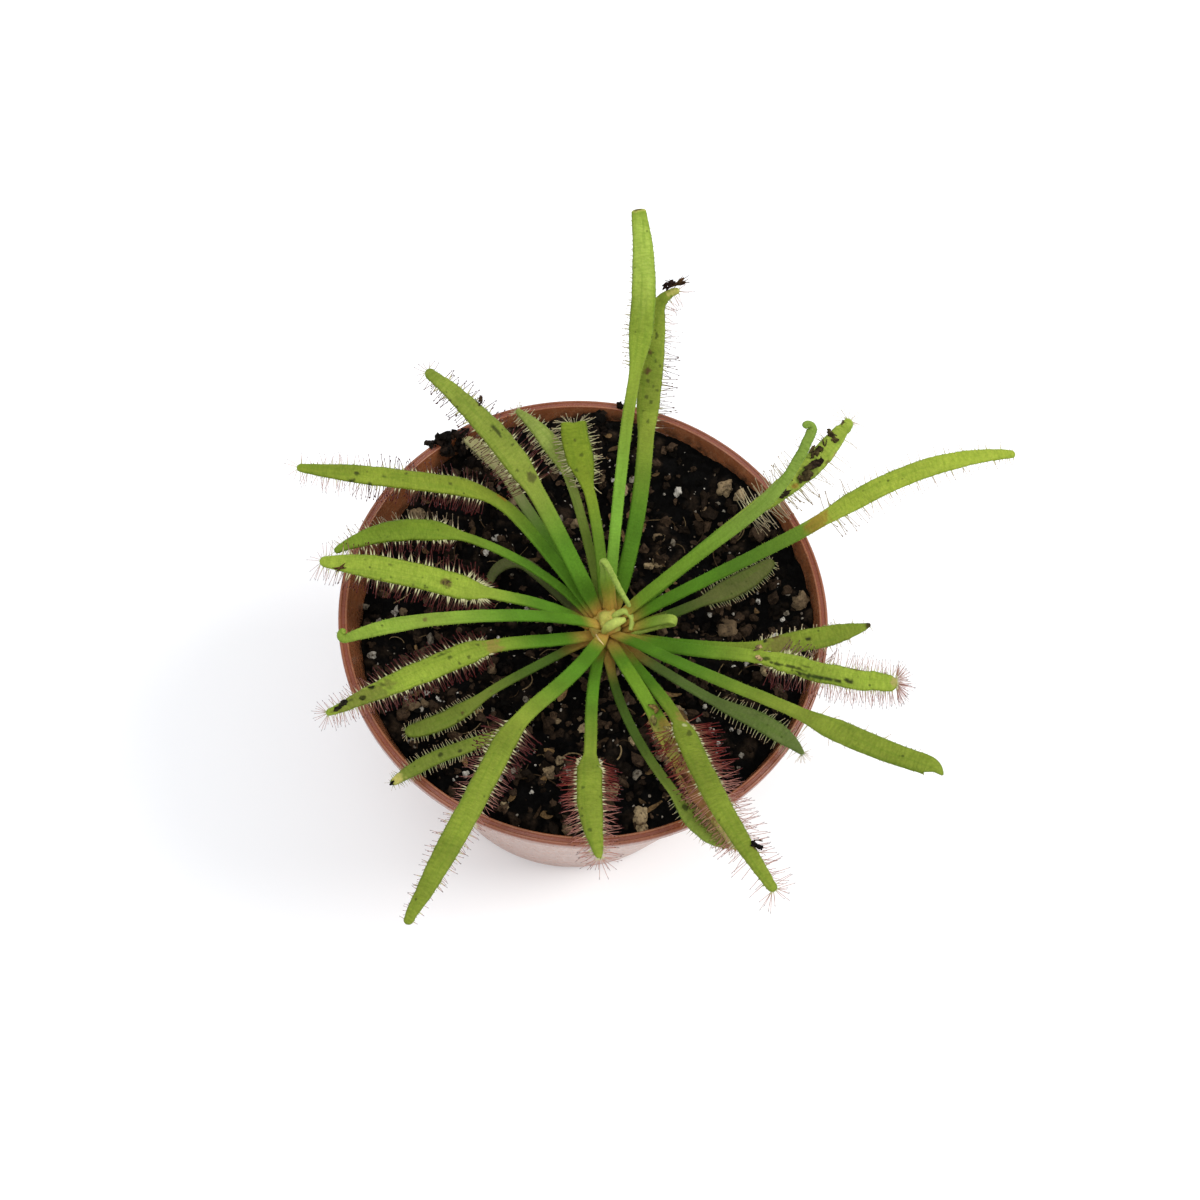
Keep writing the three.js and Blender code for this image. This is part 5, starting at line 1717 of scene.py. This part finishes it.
def edge_hairs(leaf, seed):
    """Short stiff hairs along both edges of the leaf."""
    random = seeded(seed)
    distance = np.arange(HAIR_START, sum(leaf.lengths) - 1, HAIR_SPACING)
    count = len(distance)
    distance = distance + HAIR_SPACING * random.uniform(-0.5, 0.5, count)
    along, across, up = axes(leaf, distance)
    side = random.choice([-1, 1], count)[:, None]
    half = width(leaf, distance)[:, None] / 2
    root = middle(leaf, distance) + across * side * (half - HAIR_RADIUS)
    way = unit(across * side + along * random.normal(0.2, 0.3, (count, 1)))
    way = way + up * random.normal(0, 0.4, (count, 1))
    tip = root + way * random.uniform(*HAIR_LENGTHS, (count, 1))
    corners = [root + along * HAIR_RADIUS, root - along * HAIR_RADIUS, root + up * HAIR_RADIUS, tip]
    points = np.stack(corners, axis=1).reshape(-1, 3)
    sides = np.array([[0, 1, 3], [1, 2, 3], [2, 0, 3], [0, 2, 1]])
    share = smoothstep(distance, leaf.lengths[0] * 0.5, leaf.lengths[0])
    tint = HAIR_BRIGHTNESS * lerp(leaf.look.petiole, leaf.look.blade, share[:, None])
    values = plain_values(np.repeat(tint, len(corners), axis=0))
    return Part(points, [repeated(sides, len(corners), count)], 1, values)


def clear_of_leaves(points, owner):
    """True where a tentacle's points all stay outside every other leaf."""
    clear = np.ones(len(points), bool)
    for name, leaf in LEAVES.items():
        if name == owner:
            continue
        distance = np.arange(0, sum(leaf.lengths), LEAF_PROBE_STEP)
        centre = middle(leaf, distance)
        low = centre.min(0) - 3
        high = centre.max(0) + 3
        near = np.all((points > low) & (points < high), axis=-1).any(axis=1)
        if not near.any():
            continue
        offset = points[near][:, :, None] - centre
        half_width = width(leaf, distance) / 2 + LEAF_MARGIN
        half_thickness = thickness(leaf, distance) / 2 + LEAF_MARGIN
        reaches = (0.7 * LEAF_PROBE_STEP, half_width, half_thickness)
        inside = True
        for axis, reach in zip(axes(leaf, distance), reaches):
            inside = inside & (np.abs(np.einsum("tpsk,sk->tps", offset, axis)) < reach)
        clear[near] &= ~inside.any(axis=(1, 2))
    return clear


def build_leaves(materials):
    for number, (name, leaf) in enumerate(LEAVES.items(), 1):
        parts = [leaf_part(leaf, name, number), edge_hairs(leaf, 200 + number)]
        if max(leaf.look.density):
            parts.append(tentacle_part(leaf, name, 100 + number))
        if name in SCRAPS:
            parts.append(scrap_part(leaf, SCRAPS[name], 300 + number))
        make_piece(name.replace("leaf_", "grown_"), parts, materials, [name])


def scrap_part(leaf, scraps, seed):
    """Broken crumbs and scraps that lie on a leaf's upper face, each a cluster of flat lumps."""
    random = seeded(seed)
    template, faces = lump_template(2)
    points, tints = [], []
    for scrap in scraps:
        distance = np.array([leaf.lengths[0] + scrap.share * leaf.lengths[1]])
        along, across, up = (axis[0] for axis in axes(leaf, distance))
        middle_point = middle(leaf, distance)[0]
        half = width(leaf, distance)[0] / 2
        rise = thickness(leaf, distance)[0] / 2 + scrap.height * 0.2
        for _ in range(SCRAP_LUMPS):
            shift = random.uniform(-SCRAP_SPREAD, SCRAP_SPREAD, 2) * (scrap.length, scrap.width)
            turn = random.uniform(-SCRAP_TURN_SWAY, SCRAP_TURN_SWAY) + scrap.turn
            first = math.cos(turn) * along + math.sin(turn) * across
            second = math.cos(turn) * across - math.sin(turn) * along
            noise = lattice_noise(template + random.uniform(0, NOISE_SPAN, 3), 0.6)
            size = np.array([scrap.length, scrap.width, scrap.height])
            size = size * random.uniform(*SCRAP_LUMP_SHARES, 3)
            shape = template * (1 + SCRAP_ROUGHNESS * noise)[:, None] * size
            centre = middle_point + across * scrap.side * half
            centre = centre + first * shift[0] + second * shift[1] + up * rise
            frame_axes = np.stack([first, second, up])
            points.append(centre + shape @ frame_axes)
            spots = lattice_noise(points[-1], 0.4, 9)[:, None]
            tints.append(np.array(scrap.tint) * (1 + 0.6 * spots) * random.uniform(0.4, 1.2))
    faces = [repeated(faces, len(template), len(points))]
    return Part(np.vstack(points), faces, 2, plain_values(np.vstack(tints)))


# ---------------------------------------------------------------- crown


def crown_part():
    """The rootstock and the short knobbly stem that the leaves' feet stand on."""
    rings = (OLD, MATURE, FULL, YOUNG, HEART)
    profile = [(0.01, ROOT_BOTTOM), (ROOT_RADIUS, ROOT_BOTTOM), (ROOT_RADIUS, SOIL_LEVEL - 1)]
    corners = [(ring.height, ring.radius + CROWN_SWELL) for ring in rings]
    heights = np.linspace(SOIL_LEVEL, HEART.height, CROWN_RINGS)
    radii = np.interp(heights, *np.array(corners).T)
    profile += list(zip(radii, heights))
    tip = arc((0, 0), 1, 15, 89.7, 8)
    profile += [(HEART.radius * x, HEART.height + CROWN_TIP_RISE * y) for x, y in tip]
    points = turned(np.array(profile), CROWN_SEGMENTS, CROWN)
    swollen = smoothstep(points[:, 2], SOIL_LEVEL - 1, SOIL_LEVEL + 1)
    outward = points * [1, 1, 0] - [*CROWN, 0]
    outward /= np.maximum(1, np.linalg.norm(outward, axis=1, keepdims=True))
    bulge = rough(points, CROWN_LUMPS, 5) * swollen
    points = points + outward * bulge[:, None]
    points[:, 2] += bulge * CROWN_LUMP_RISE
    ends = [[*CROWN, ROOT_BOTTOM], [*CROWN, HEART.height + CROWN_TIP_RISE]]
    points = np.vstack([points, ends])
    tone = 0.5 + 0.5 * lattice_noise(points, CROWN_PATCH_WIDTH, 6)[:, None]
    tint = lerp(CORE_DARK, CORE_LIGHT, tone)
    return Part(points, closed_faces(len(profile), CROWN_SEGMENTS), 0, plain_values(tint))


def bud_part(path, widths, colour):
    """One coiled new leaf: a round strand along a smooth path."""
    path = smooth_path(np.array(path), BUD_POINTS)
    radii = np.interp(np.linspace(0, 1, len(path)), np.linspace(0, 1, len(widths)), widths) / 2
    points, faces = tube(path, radii, BUD_SIDES)
    patches = BUD_PATCH_SHARE * lattice_noise(points, BUD_PATCH_WIDTH, 4)
    tint = np.array(colour) * (1 + patches)[:, None]
    return Part(points, faces, 0, plain_values(tint))


def build_crown(tissue, litter):
    parts = [crown_part()] + [bud_part(*bud) for bud in BUDS]
    return make_piece("crown_stem", parts, [tissue, litter], ["crown"])


def smooth_path(corners, steps):
    """Points of a smooth curve through corners."""
    padded = np.vstack([2 * corners[0] - corners[1], corners, 2 * corners[-1] - corners[-2]])
    places = np.linspace(0, len(corners) - 1 - 1e-6, steps)
    start = places.astype(int)
    share = (places - start)[:, None]
    p0, p1, p2, p3 = (padded[start + k] for k in range(4))
    bend = (2 * p0 - 5 * p1 + 4 * p2 - p3) * share**2 + (3 * p1 - p0 - 3 * p2 + p3) * share**3
    return p1 + 0.5 * ((p2 - p0) * share + bend)


# ---------------------------------------------------------------- stage and camera


def build_floor(material):
    low = float(ORIGIN[2]) * MM
    corners = [(-1, -1), (1, -1), (1, 1), (-1, 1)]
    points = [(x * FLOOR_REACH, y * FLOOR_REACH, low) for x, y in corners]
    mesh = bpy.data.meshes.new("floor")
    mesh.from_pydata(points, [], [(0, 1, 2, 3)])
    mesh.materials.append(material)
    floor = bpy.data.objects.new("floor", mesh)
    bpy.context.scene.collection.objects.link(floor)


def add_area_light(name, place, size, power, colour):
    light = bpy.data.lights.new(name, "AREA")
    light.shape = "DISK"
    light.size = size
    light.energy = power
    light.color = colour
    lamp = bpy.data.objects.new(name, light)
    bpy.context.scene.collection.objects.link(lamp)
    lamp.location = place
    aim = Vector((AIM + ORIGIN) * MM)
    lamp.rotation_euler = (aim - Vector(place)).to_track_quat("-Z", "Y").to_euler()


def set_stage():
    scene = bpy.context.scene
    scene.view_settings.view_transform = "Standard"
    world = bpy.data.worlds.new("studio")
    world.use_nodes = True
    sky = world.node_tree.nodes["Background"].inputs
    sky["Color"].default_value = SKY_COLOUR
    sky["Strength"].default_value = SKY_STRENGTH
    scene.world = world
    for light in LIGHTS:
        add_area_light(*light)


def add_camera():
    tilt = math.radians(CAMERA_ELEVATION)
    roll = math.radians(CAMERA_ROLL)
    forward = Vector((0, math.cos(tilt), -math.sin(tilt)))
    level_up = Vector((0, math.sin(tilt), math.cos(tilt)))
    level_right = Vector((1, 0, 0))
    right = math.cos(roll) * level_right + math.sin(roll) * level_up
    up = -math.sin(roll) * level_right + math.cos(roll) * level_up
    data = bpy.data.cameras.new("camera")
    data.lens = FOCAL_LENGTH
    data.sensor_width = SENSOR_WIDTH
    data.clip_start = 0.01
    camera = bpy.data.objects.new("camera", data)
    bpy.context.scene.collection.objects.link(camera)
    turn = Matrix((right, up, -forward)).transposed().to_4x4()
    place = Vector((AIM + ORIGIN) * MM) - forward * CAMERA_DISTANCE * MM
    camera.matrix_world = Matrix.Translation(place) @ turn
    bpy.context.scene.camera = camera


add_camera()
set_stage()
build_floor(floor_material())
soil_look = soil_material()
mineral_look = mineral_material()
tissue_look = tissue_material()
tentacle_look = tentacle_material()
build_pot(pot_material())
build_soil(soil_look)
build_crumbs(soil_look)
build_perlite(mineral_look)
build_gravel(mineral_look)
build_crown(tissue_look, soil_look)
build_leaves([tissue_look, tentacle_look, soil_look])
